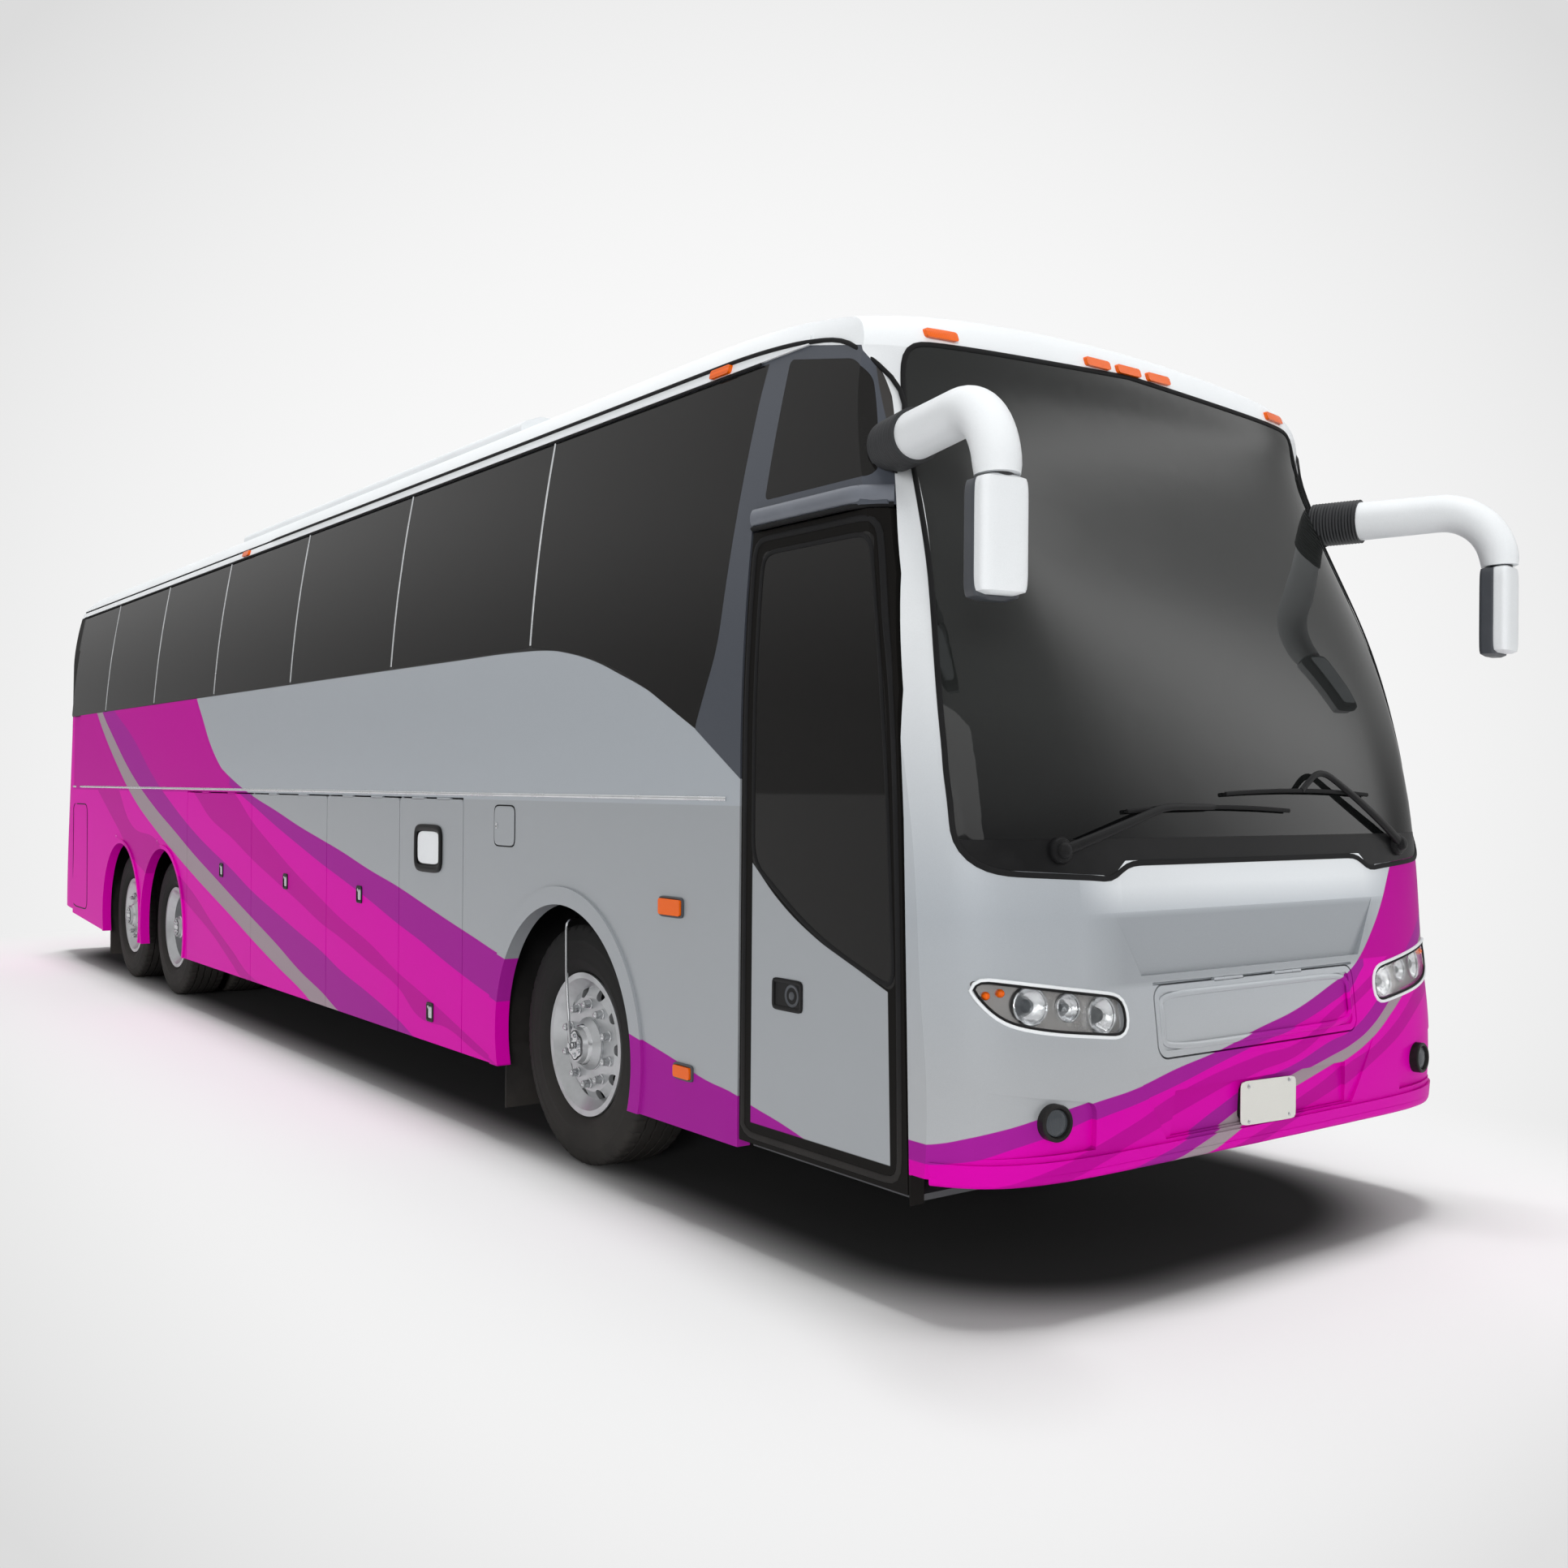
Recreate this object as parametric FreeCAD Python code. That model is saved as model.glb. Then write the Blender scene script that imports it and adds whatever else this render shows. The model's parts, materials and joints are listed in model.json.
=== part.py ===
# Three-axle touring coach, built as separate pieces.
# Millimetres. X points to the nose, Y to the coach's left, Z up. While the pieces are made, x is
# measured from the front axle and z from the ground. The entrance door is on the right.
import FreeCAD
import Part
import math
import os
from FreeCAD import Vector

# Overall sizes
half_width = 1300
crown_z = 3430
skirt_z = 335
front_overhang = 2505
wheelbase = 6250
tag_spacing = 1250
rear_overhang = 2550
drive_x = -wheelbase
tag_x = drive_x - tag_spacing
tail_x = tag_x - rear_overhang

# Clearances and cutting margins
overrun = 100
fit_gap = 0.3
spin_gap = 0.5
least_edge = 0.03
least_turn_deg = 1

# Body section: upright sides, a gentle lean above the trim line, a tight corner into the roof
lean_start_z = 1700
lean_radius = 7400
rail_z = 3105
roof_corner_radius = 267
roof_corner_slope_deg = 13.5
roof_fall = 211
wall = 55
roof_wall = 45

# Nose surface: side profile as shares of the header's setback and of the crown height
header_setback = 625
nose_setback_shares = (0.09, 0.02, 0, 0.01, 0.05, 0.08, 0.105, 0.48, 0.985, 1, 1.06, 1.29, 1.77, 2.57, 3.69)
nose_height_shares = (0.058, 0.117, 0.175, 0.219, 0.28, 0.35, 0.4, 0.652, 0.895, 0.914, 0.932, 0.951,
                      0.971, 0.99, 1)
nose_bow = 20
nose_turn = 210
nose_turn_power = 8
fall_start_z = 1370
fall_power = 8

# Tail surface
tail_lean = 275
tail_setback_shares = (0.05, 0, 0.35, 0.62, 1, 1.3, 1.8, 2.6, 3.4)
tail_height_shares = (0.058, 0.137, 0.446, 0.634, 0.905, 0.955, 0.99, 1.03, 1.06)
tail_bow = 60
tail_turn = 230
tail_turn_power = 12
skin_reach = 100
skin_depth_share = 1.5
profile_stations = 44
width_stations = 17

# Seams between the body's mouldings, in the side view
front_line = ((2185, 200), (2160, 940), (2140, 1500), (2112, 1892), (2040, 2260), (1965, 2493), (1922, 2620),
              (1850, 2870), (1818, 2960), (1770, 3045))
roof_seam_z = 3112
roof_seam_x = 1480
header_seam_z = 3045
rear_seam_x = -9520
bumper_low_z = 430
bumper_back_x = 2262
rear_rise = 120
pillar_inner_y = 1100
bumper_seam = ((0, 975), (555, 975), (690, 950), (1214, 1030), (1500, 1036))

# Mouldings that stand proud of the sides
rail_proud = 10
rail_top_z = 3150
flare_proud = 12
front_flare = 75
rear_flare = 28
beam_low_z = 2492
beam_top_z = 2556
beam_proud = 16
beam_front_x = 1955

# Windscreen opening in the front view and the cowl below it
screen_half = ((0, 3105), (1045, 3052), (1112, 2480), (1205, 1980), (1224, 1560), (1215, 1355), (736, 1327),
               (705, 1314), (635, 1370))
screen_radii = (0, 60, 1500, 900, 600, 110, 20, 10, 10)
cowl_top_z = 1440
cowl_depth = 40
glass = 8

# Side glazing
window_low_z = 2190
window_top_z = 3100
first_divider_x = -355
window_pitch = 1563
window_count = 5
last_pane_x = -9480
divider_gap = 10
rebate = 35
pane_corner = 30
front_pane = ((-350, 2190), (330, 2108), (980, 1804), (1110, 2090), (1236, 3100), (-350, 3100))
front_pane_radii = (30, 2500, 15, 600, 30, 30)
quarter_pane = ((1332, 2590), (1374, 3085), (1792, 2995), (1898, 2590))
quarter_radii = (20, 20, 140, 25)
driver_pane = ((1345, 1650), (1340, 2440), (1930, 2440), (2062, 1650))
driver_radii = (60, 40, 40, 60)
back_pane_half = 900
back_pane_low_z = 2250
back_pane_top_z = 2950
back_pane_corner = 90

# Wheels and arches
axle_z = 505
arch_radius = 590
front_arch_shift = -20
tyre_width = 290
tyre_centre_y = 1075
twin_spacing = 330
bead_radius = 288
spindle_radius = 45
kingpin_y = 930
kingpin_radius = 22
housing_margin = 35
housing_inner_y = 545
housing_top_z = 1130
housing_low_z = 420
sheet = 8

# Underfloor doors between the arches, from the drive axle forwards
trim_z = 1525
bay_seams = (-5600, -4142, -2789, -1746, -987)
doors_right = 4
doors_left = 3
door_gap = 6
door_corner = 25

# Pin hinges set just inside the outer skin, over the top edge of each lifting panel
hinge_radius = 7
hinge_pin = 3
hinge_relief = 9.5
hinge_knuckle = 50
hinge_tab = 6
hinge_share = 0.3
hinge_slack = 0.02
knuckle_start = 0.5
knuckle_end = 1.5

# Entrance door and its swing arm
door_rear_x = 1285
door_low_z = 365
door_top_z = 2480
doorway_gap = 12
door_pane = ((1353, 1330), (1353, 2405), (1940, 2405), (2052, 1850), (2108, 962), (1700, 1100))
door_pane_radii = (40, 25, 40, 900, 30, 1500)
handle_recess = ((1480, 850), (1640, 850), (1640, 945), (1480, 945))
handle_radius = 14
handle_depth = 16
vent_recess = ((-1500, 1212), (-1262, 1212), (-1262, 1362), (-1500, 1362))
vent_radius = 40
vent_depth = 22
sill_z = 355
arm_post_x = 2010
arm_post_y = -1150
arm_length = 430
arm_radius = 16
arm_eye_radius = 26
arm_heights = (1000, 1240)
hinge_pin_radius = 10
hinge_lug = 14
post_radius = 22
post_top_z = 2150
door_rib_reach = 104

# Floors, bays and rails
deck_z = 1500
deck = 60
deck_front_x = 800
platform_z = 970
bay_floor_z = 445
panel = 20
rail_y = 380
rail_width = 80
rail_high_z = 920
rail_depth = 120
rail_low_z = 345
rail_drop = 80


def box(x_from, x_to, y_from, y_to, z_from, z_to):
    corner = Vector(min(x_from, x_to), min(y_from, y_to), min(z_from, z_to))
    return Part.makeBox(abs(x_to - x_from), abs(y_to - y_from), abs(z_to - z_from), corner)


# Box between two opposite corners
def box_between(a, b):
    return box(a.x, b.x, a.y, b.y, a.z, b.z)


def cylinder_x(y, z, radius, x_from, x_to):
    return Part.makeCylinder(radius, abs(x_to - x_from), Vector(min(x_from, x_to), y, z), Vector(1, 0, 0))


def cylinder_y(x, z, radius, y_from, y_to):
    return Part.makeCylinder(radius, abs(y_to - y_from), Vector(x, min(y_from, y_to), z), Vector(0, 1, 0))


def cylinder_z(x, y, radius, z_from, z_to):
    return Part.makeCylinder(radius, abs(z_to - z_from), Vector(x, y, min(z_from, z_to)))


def mirrored(shape):
    return shape.mirror(Vector(0, 0, 0), Vector(0, 1, 0))


def solid_of(shape):
    if shape.Volume < 0:
        shape.reverse()
    return shape


def joined(shapes):
    whole = shapes[0]
    if len(shapes) > 1:
        whole = whole.fuse(shapes[1:])
    return whole.removeSplitter()


def group(shapes):
    return Part.makeCompound([solid for shape in shapes for solid in shape.Solids])


# Closed outline through the corners, each rounded by its radius (zero leaves it sharp)
def rounded_outline(corners, radii):
    if not isinstance(radii, (list, tuple)):
        radii = [radii] * len(corners)
    edges = []
    ends = []
    for i, corner in enumerate(corners):
        into = (corner - corners[i - 1]).normalize()
        out = (corners[(i + 1) % len(corners)] - corner).normalize()
        turn = into.getAngle(out)
        if radii[i] == 0 or turn < math.radians(least_turn_deg):
            ends.append((corner, corner))
            continue
        reach = radii[i] * math.tan(turn / 2)
        start = corner - into * reach
        end = corner + out * reach
        inward = (out - into).normalize()
        middle = corner + inward * (radii[i] / math.cos(turn / 2) - radii[i])
        ends.append((start, end))
        edges.append(Part.Arc(start, middle, end).toShape())
    for i in range(len(corners)):
        start = ends[i][1]
        end = ends[(i + 1) % len(corners)][0]
        if start.distanceToPoint(end) > least_edge:
            edges.append(Part.LineSegment(start, end).toShape())
    return Part.Wire(Part.__sortEdges__(edges))


def grown(wire, by):
    if by == 0:
        return Part.Face(wire)
    return Part.Face(wire).makeOffset2D(by)


def side_prism(corners, radii, y_from, y_to, by=0):
    wire = rounded_outline([Vector(x, y_from, z) for x, z in corners], radii)
    return solid_of(grown(wire, by).extrude(Vector(0, y_to - y_from, 0)))


def front_prism(corners, radii, x_from, x_to, by=0):
    wire = rounded_outline([Vector(x_from, y, z) for y, z in corners], radii)
    return solid_of(grown(wire, by).extrude(Vector(x_to - x_from, 0, 0)))


# Both halves of an outline whose right half is given from the centre line outwards
def both_halves(half, radii):
    corners = list(half)
    rounds = list(radii)
    for (y, z), radius in reversed(list(zip(half, radii))):
        if y > 0:
            corners.append((-y, z))
            rounds.append(radius)
    return corners, rounds


# Turn an outline of (y from the wheel's centre plane, radius) corners about the wheel's axis
def turned(corners, radii, x, y):
    wire = rounded_outline([Vector(0, across, out) for across, out in corners], radii)
    solid = solid_of(Part.Face(wire).revolve(Vector(0, 0, 0), Vector(0, 1, 0), 360))
    solid.translate(Vector(x, y, axle_z))
    return solid


# Section of the body across its length, drawn inside the outer skin by the inset
def section_block(inset, z_low):
    lean_angle = math.asin((rail_z - lean_start_z) / lean_radius)
    radius = lean_radius - inset
    centre_y = half_width - lean_radius

    def on_lean(angle):
        return Vector(0, centre_y + radius * math.cos(angle), lean_start_z + radius * math.sin(angle))

    rail = on_lean(lean_angle)
    corner = roof_corner_radius - inset
    pivot_y = rail.y - corner * math.cos(lean_angle)
    pivot_z = rail.z - corner * math.sin(lean_angle)

    def on_corner(angle):
        return Vector(0, pivot_y + corner * math.cos(angle), pivot_z + corner * math.sin(angle))

    slope = math.radians(roof_corner_slope_deg)
    end_angle = math.pi / 2 - slope
    end = on_corner(end_angle)
    apex = Vector(0, 0, end.z + end.y * math.tan(slope))
    low = Vector(0, half_width - inset, z_low)
    shoulder = on_lean(0)
    half = [
        Part.LineSegment(Vector(0, 0, z_low), low),
        Part.LineSegment(low, shoulder),
        Part.Arc(shoulder, on_lean(lean_angle / 2), rail),
        Part.Arc(rail, on_corner((lean_angle + end_angle) / 2), end),
        Part.LineSegment(end, apex),
    ]
    left = Part.Wire([edge.toShape() for edge in half])
    outline = Part.Wire(Part.__sortEdges__(left.Edges + mirrored(left).Edges))
    block = Part.Face(outline).extrude(Vector(front_overhang - tail_x + 2 * overrun, 0, 0))
    block.translate(Vector(tail_x - overrun, 0, 0))
    return solid_of(block)


# How far a skin is set back across its width
def turn_back(y, bow, turn, power):
    share = abs(y) / half_width
    return bow * share ** 2 + turn * share ** power


# How far the roof falls towards the side, which fades out below the header
def side_fall(y, z):
    rise = max(0, z - fall_start_z) / (crown_z - fall_start_z)
    return roof_fall * (y / half_width) ** 2 * min(1, rise) ** fall_power


# Solid behind a doubly curved skin: the side profile is carried across the width
def end_block(profile, bow, turn, power, ahead):
    curve = Part.BSplineCurve()
    curve.interpolate([Vector(x, 0, z) for x, z in profile])
    reach = half_width + skin_reach
    widths = [reach * (2 * i / (width_stations - 1) - 1) for i in range(width_stations)]
    grid = []
    for point in curve.discretize(Number=profile_stations):
        row = []
        for y in widths:
            x = point.x - ahead * turn_back(y, bow, turn, power)
            row.append(Vector(x, y, point.z - side_fall(y, point.z)))
        grid.append(row)
    surface = Part.BSplineSurface()
    surface.interpolate(grid)
    depth = (front_overhang - tail_x) * skin_depth_share
    return solid_of(surface.toShape().extrude(Vector(-ahead * depth, 0, 0)))


def nose_block():
    profile = [(front_overhang - header_setback * back, crown_z * up)
               for back, up in zip(nose_setback_shares, nose_height_shares)]
    return end_block(profile, nose_bow, nose_turn, nose_turn_power, 1)


def tail_block():
    profile = [(tail_x + tail_lean * back, crown_z * up)
               for back, up in zip(tail_setback_shares, tail_height_shares)]
    return end_block(profile, tail_bow, tail_turn, tail_turn_power, -1)


nose = nose_block()
tail = tail_block()
hulls = {}
far = half_width * 2
far_ahead = front_overhang + overrun
far_behind = tail_x - overrun


def ahead_of_nose(by):
    return nose.translated(Vector(by, 0, 0))


def behind_tail(by):
    return tail.translated(Vector(-by, 0, 0))


# The body as a solid with an open tail, grown outwards by the distance
def hull(by):
    if by not in hulls:
        hulls[by] = section_block(-by, skirt_z).common(ahead_of_nose(by))
    return hulls[by]


def arch_cutter(x, radius):
    return cylinder_y(x, axle_z, radius, -far, far)


def arches():
    return ((front_arch_shift, front_flare), (drive_x, rear_flare), (tag_x, rear_flare))


def make_shell():
    outer = hull(0).common(tail)
    inner_nose = nose.translated(Vector(-wall, 0, -roof_wall))
    inner_tail = tail.translated(Vector(wall, 0, -roof_wall))
    hollow = section_block(wall, skirt_z - overrun).common(inner_nose).common(inner_tail)
    shell = outer.cut(hollow)
    under_nose = box(front_line[0][0], far_ahead, -far, far, 0, bumper_low_z)
    rise_x = tag_x - arch_radius
    under_tail = side_prism([(rise_x, skirt_z), (far_behind, skirt_z + rear_rise), (far_behind, 0),
                             (rise_x, 0)], 0, -far, far)
    return shell.cut([under_nose, under_tail] + [arch_cutter(x, arch_radius) for x, flare in arches()])


# Everything ahead of the seam behind the front pillars, and all that is between the pillars
def front_region():
    top = front_line[-1]
    low = front_line[0]
    corners = list(front_line) + [(far_ahead, top[1]), (far_ahead, 0), (low[0], 0)]
    between = box(roof_seam_x, far_ahead, -pillar_inner_y, pillar_inner_y, 0, header_seam_z)
    return side_prism(corners, 0, -far, far).fuse(between)


def roof_region():
    top = crown_z + overrun
    corners = [(far_behind, roof_seam_z), (roof_seam_x, roof_seam_z), front_line[-1],
               (far_ahead, header_seam_z), (far_ahead, top), (far_behind, top)]
    return side_prism(corners, 0, -far, far)


def screen_prism(by):
    corners, rounds = both_halves(screen_half, screen_radii)
    return front_prism(corners, rounds, 0, far_ahead, by)


def bumper_region():
    corners, rounds = both_halves(bumper_seam, [0] * len(bumper_seam))
    half = len(bumper_seam)
    corners = corners[:half] + [(far, 0), (-far, 0)] + corners[half:]
    return front_prism(corners, 0, 0, far_ahead)


# Skin that stands proud of the sides, inside an outline in the side view
def proud_side(prism, proud):
    return prism.common(section_block(-proud, skirt_z)).common(ahead_of_nose(proud)).cut(hull(0))


def flare(x, width):
    ring = arch_cutter(x, arch_radius + width).cut(arch_cutter(x, arch_radius))
    return proud_side(ring, flare_proud)


# Outlines of the panes of one side: corners and radii in the side view
def side_panes():
    panes = [(front_pane, front_pane_radii)]
    ends = [first_divider_x - i * window_pitch for i in range(window_count + 1)] + [last_pane_x]
    for front, back in zip(ends, ends[1:]):
        x_front = front - divider_gap / 2
        x_back = back + divider_gap / 2
        corners = ((x_back, window_low_z), (x_front, window_low_z), (x_front, window_top_z),
                   (x_back, window_top_z))
        panes.append((corners, [pane_corner for corner in corners]))
    panes.append((quarter_pane, quarter_radii))
    return panes


# Where a line along the coach meets the skin of the nose or the tail
def skin_x(block, y, z):
    inside = Part.makeLine(Vector(far_behind, y, z), Vector(far_ahead, y, z)).common(block).BoundBox
    return inside.XMax if block is nose else inside.XMin


# Hang a lifting panel below its frame on pin hinges along an axis, which is relieved over its whole run
def hang(frame, lid, along, start, end, centres):
    frame = frame.cut(Part.makeCylinder(hinge_relief, (end - start).Length, start, along))
    out = along.cross(Vector(0, 0, 1)) * (hinge_tab / 2)
    fixed = []
    moving = []
    for centre in centres:
        def barrel(radius, begin, stop):
            return Part.makeCylinder(radius, hinge_knuckle * (stop - begin), centre + along * hinge_knuckle * begin,
                                     along)

        def tab(begin, stop, reach):
            return box_between(centre + along * hinge_knuckle * begin - out,
                               centre + along * hinge_knuckle * stop + out + Vector(0, 0, reach))

        lid = lid.cut(barrel(hinge_relief, -knuckle_end - hinge_slack, knuckle_end + hinge_slack))
        for begin in (-knuckle_end, knuckle_start):
            fixed += [barrel(hinge_radius, begin, begin + 1), tab(begin, begin + 1, hinge_relief * 2)]
        fixed.append(barrel(hinge_pin, -knuckle_start, knuckle_start))
        eye = joined([barrel(hinge_radius, -knuckle_start + hinge_slack, knuckle_start - hinge_slack),
                      tab(-knuckle_start + hinge_slack, knuckle_start - hinge_slack, -hinge_relief * 2)])
        moving.append(eye.cut(barrel(hinge_pin + fit_gap, -1, 1)))
    return joined([frame] + fixed), joined([lid] + moving)


# Shallow recess in the right side
def pocket(corners, radius, depth):
    return side_prism(corners, radius, -far, 0).cut(hull(-depth))


def near_side(side):
    return (0, far) if side > 0 else (-far, 0)


# Rebate for each pane, with a narrower opening behind it
def glaze(shape, panes, side):
    y_from, y_to = near_side(side)
    inner = hull(-glass - fit_gap)
    cutters = []
    for corners, radii in panes:
        cutters.append(side_prism(corners, radii, y_from, y_to, fit_gap).cut(inner))
        cutters.append(side_prism(corners, 0, y_from, y_to, -rebate))
    return shape.cut(cutters)


def make_panes(panes, side):
    y_from, y_to = near_side(side)
    prisms = [side_prism(corners, radii, y_from, y_to) for corners, radii in panes]
    return [prism.common(hull(0)).cut(hull(-glass)) for prism in prisms]


def bay_outline(i):
    low = skirt_z - overrun
    return ((bay_seams[i], low), (bay_seams[i + 1], low), (bay_seams[i + 1], trim_z), (bay_seams[i], trim_z))


def bay_prism(i, by, side):
    y_from, y_to = near_side(side)
    return side_prism(bay_outline(i), (0, 0, door_corner, door_corner), y_from, y_to, by)


def door_outline():
    back = doorway_gap
    rise = [(x - back, z) for x, z in front_line if door_low_z < z < door_top_z]
    low_x = front_line[0][0] - back
    top_x = min(x for x, z in front_line if z < beam_top_z) - back
    return [(door_rear_x, door_low_z), (low_x, door_low_z)] + rise + [(top_x, door_top_z),
                                                                     (door_rear_x, door_top_z)]


def doorway_prism():
    x_from = door_rear_x - doorway_gap
    return box(x_from, far_ahead, -far, 0, 0, beam_low_z)


def make_wall(shell, side, front, roof):
    y_from, y_to = near_side(side)
    half = box(rear_seam_x, far_ahead, y_from, y_to, 0, crown_z)
    side_wall = shell.cut([front, roof]).common(half)
    side_wall = joined([side_wall] + [flare(x, width).common(half) for x, width in arches()])
    panes = side_panes()
    if side > 0:
        panes.append((driver_pane, driver_radii))
        doors = range(doors_left)
    else:
        beam = side_prism([(door_rear_x, beam_low_z), (beam_front_x, beam_low_z),
                           (beam_front_x - beam_proud, beam_top_z), (door_rear_x, beam_top_z)], 0, -far,
                          -pillar_inner_y)
        side_wall = joined([side_wall, proud_side(beam, beam_proud)])
        side_wall = side_wall.cut([doorway_prism(), pocket(vent_recess, vent_radius, vent_depth)])
        doors = range(doors_right)
    side_wall = glaze(side_wall, panes, side)
    bays = [side_wall.common(bay_prism(i, -door_gap / 2, side)) for i in doors]
    side_wall = side_wall.cut([bay_prism(i, door_gap / 2, side) for i in doors])
    hinge_y = side * (half_width - hinge_radius)
    for i in doors:
        start = Vector(bay_seams[i], hinge_y, trim_z)
        end = Vector(bay_seams[i + 1], hinge_y, trim_z)
        centres = [start + (end - start) * share for share in (hinge_share, 1 - hinge_share)]
        side_wall, bays[i] = hang(side_wall, bays[i], Vector(1, 0, 0), start, end, centres)
    return side_wall, bays, make_panes(panes, side)


def make_roof(shell, roof):
    rail = side_prism([(rear_seam_x, roof_seam_z), (roof_seam_x, roof_seam_z), (roof_seam_x, rail_top_z),
                       (rear_seam_x, rail_top_z)], 0, -far, far)
    return joined([shell.common(roof), proud_side(rail, rail_proud)]).cut(screen_prism(0))


# Low housing of the air conditioning on the roof
fairing_front_x = -1180
fairing_back_x = -5600
fairing_half = 920
fairing_height = 62
fairing_slope = 260
fairing_edge = 40


def make_fairing():
    top = crown_z + fairing_height
    low = crown_z - roof_fall
    long_way = side_prism([(fairing_back_x, low), (fairing_front_x, low), (fairing_front_x, crown_z),
                           (fairing_front_x - fairing_slope, top), (fairing_back_x + fairing_slope, top),
                           (fairing_back_x, crown_z)], 0, -far, far)
    across = front_prism([(-fairing_half, low), (fairing_half, low), (fairing_half, crown_z - fairing_edge),
                          (fairing_half - fairing_slope, top), (fairing_slope - fairing_half, top),
                          (-fairing_half, crown_z - fairing_edge)], (0, 0, fairing_edge, fairing_slope,
                                                                     fairing_slope, fairing_edge),
                         fairing_back_x - overrun, fairing_front_x + overrun)
    return long_way.common(across).cut(hull(0))


# Lamps in the nose: outlines in the front view for the left side, mirrored for the right
head_outline = ((1214, 1024), (681, 947), (676, 833), (1099, 881), (1181, 948))
head_radii = (10, 25, 25, 150, 60)
bowl_places = ((1036, 944, 56), (898, 932, 42), (762, 901, 56))
lens = 6
lamp_set_back = 26
lamp_depth = 130
bowl_depth = 60
fog_y = 982
fog_z = 598
fog_radius = 48
fog_depth = 70
fog_pocket = ((1213, 700), (822, 643), (822, 500), (1213, 500))
fog_pocket_radii = (0, 40, 0, 0)
fog_pocket_turn_deg = 2.9
lid_half = 540
lid_low_z = 745
lid_corner = 45
lid_rim = 24
lid_recess = 7

# Facets of the nose fall back below a crease; half widths and heights of the crease and of the foot
hood_facet = (700, 1210, 590, 1008)
hood_facet_turn_deg = 5
plate_facet = (650, 725, 505, 492)
plate_facet_turn_deg = 3
plate_recess = ((-475, 497), (475, 497), (462, 640), (-462, 640))
plate_recess_depth = 22
lip_top_z = 482
lip_proud = 10


def both_sides(shapes):
    return shapes + [mirrored(shape) for shape in shapes]


def head_prism(by):
    return front_prism(head_outline, head_radii, 0, far_ahead, by)


def make_headlamps():
    prism = head_prism(-fit_gap)
    block = prism.common(ahead_of_nose(-lamp_set_back)).cut(ahead_of_nose(-lamp_set_back - lamp_depth))
    for y, z, radius in bowl_places:
        bowl = cylinder_x(y, z, radius, 0, far_ahead)
        block = block.cut(bowl.cut(ahead_of_nose(-lamp_set_back - bowl_depth)))
    lenses = prism.common(nose).cut(ahead_of_nose(-lens))
    fog = cylinder_x(fog_y, fog_z, fog_radius - fit_gap, 0, far_ahead).common(ahead_of_nose(-lens))
    fog = fog.cut(ahead_of_nose(-lens - fog_depth))
    return group(both_sides([block, fog])), group(both_sides([lenses]))


def lid_prism(by):
    top = bumper_seam[1][1]
    corners = ((-lid_half, lid_low_z), (lid_half, lid_low_z), (lid_half, top), (-lid_half, top))
    return front_prism(corners, lid_corner, 0, far_ahead, by)


# The same hinges across the coach, just inside the skin of the nose or the tail
def hang_across(frame, lid, block, half, z):
    inwards = -hinge_radius if block is nose else hinge_radius
    x = skin_x(block, 0, z) + inwards
    start = Vector(x, -half, z)
    end = Vector(x, half, z)
    centres = [Vector(x, -half * hinge_share, z), Vector(x, half * hinge_share, z)]
    return hang(frame, lid, Vector(0, 1, 0), start, end, centres)


# What lies ahead of the nose's skin once the skin is turned about an axis
def ahead_of_turned(prism, centre, axis, turn_deg):
    turned_nose = nose.copy()
    turned_nose.rotate(centre, axis, turn_deg)
    return prism.cut(turned_nose)


def facet_cutter(facet, turn_deg):
    top_half, crease_z, foot_half, foot_z = facet
    prism = front_prism(((-top_half, crease_z), (top_half, crease_z), (foot_half, foot_z), (-foot_half, foot_z)),
                        0, roof_seam_x, far_ahead)
    centre = Vector(skin_x(nose, 0, crease_z), 0, crease_z)
    return ahead_of_turned(prism, centre, Vector(0, 1, 0), turn_deg)


# Pocket round the fog lamp, which deepens towards the middle of the nose
def fog_pocket_cutter():
    outer_y = fog_pocket[0][0]
    centre = Vector(skin_x(nose, outer_y, fog_z), outer_y, fog_z)
    prism = front_prism(fog_pocket, fog_pocket_radii, roof_seam_x, far_ahead)
    return ahead_of_turned(prism, centre, Vector(0, 0, -1), fog_pocket_turn_deg)


# Lip along the foot of the bumper
def make_lip():
    slab = box(front_line[0][0], far_ahead, -far, far, bumper_low_z, lip_top_z)
    behind = box(front_line[0][0], bumper_back_x, -far, far, 0, crown_z)
    return proud_side(slab, lip_proud).cut(behind)


def make_front(shell, front, roof):
    ahead = shell.common(front).cut([roof, screen_prism(0)])
    low = bumper_region()
    lamps = both_sides([head_prism(0)])
    fogs = both_sides([cylinder_x(fog_y, fog_z, fog_radius, 0, far_ahead)])
    cap = ahead.cut([low, facet_cutter(hood_facet, hood_facet_turn_deg)] + lamps)
    recess = front_prism(plate_recess, 0, roof_seam_x, far_ahead).cut(ahead_of_nose(-plate_recess_depth))
    bumper = ahead.common(low).cut(lamps)
    lid = bumper.common(lid_prism(-door_gap / 2))
    lid = lid.cut(lid_prism(-lid_rim).cut(ahead_of_nose(-lid_recess)))
    bumper = bumper.cut([lid_prism(door_gap / 2), facet_cutter(plate_facet, plate_facet_turn_deg), recess]
                        + fogs + both_sides([fog_pocket_cutter()]))
    bumper = joined([bumper, make_lip()])
    cap, lid = hang_across(cap, lid, nose, lid_half, bumper_seam[1][1])
    return cap, bumper, lid


def make_screen():
    prism = screen_prism(-fit_gap)
    above = box(0, far_ahead, -far, far, cowl_top_z, crown_z)
    below = box(0, far_ahead, -far, far, 0, cowl_top_z - fit_gap)
    screen = prism.common(nose).cut(ahead_of_nose(-glass)).common(above)
    cowl = prism.common(nose).cut(ahead_of_nose(-cowl_depth)).common(below)
    return screen, cowl


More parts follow.
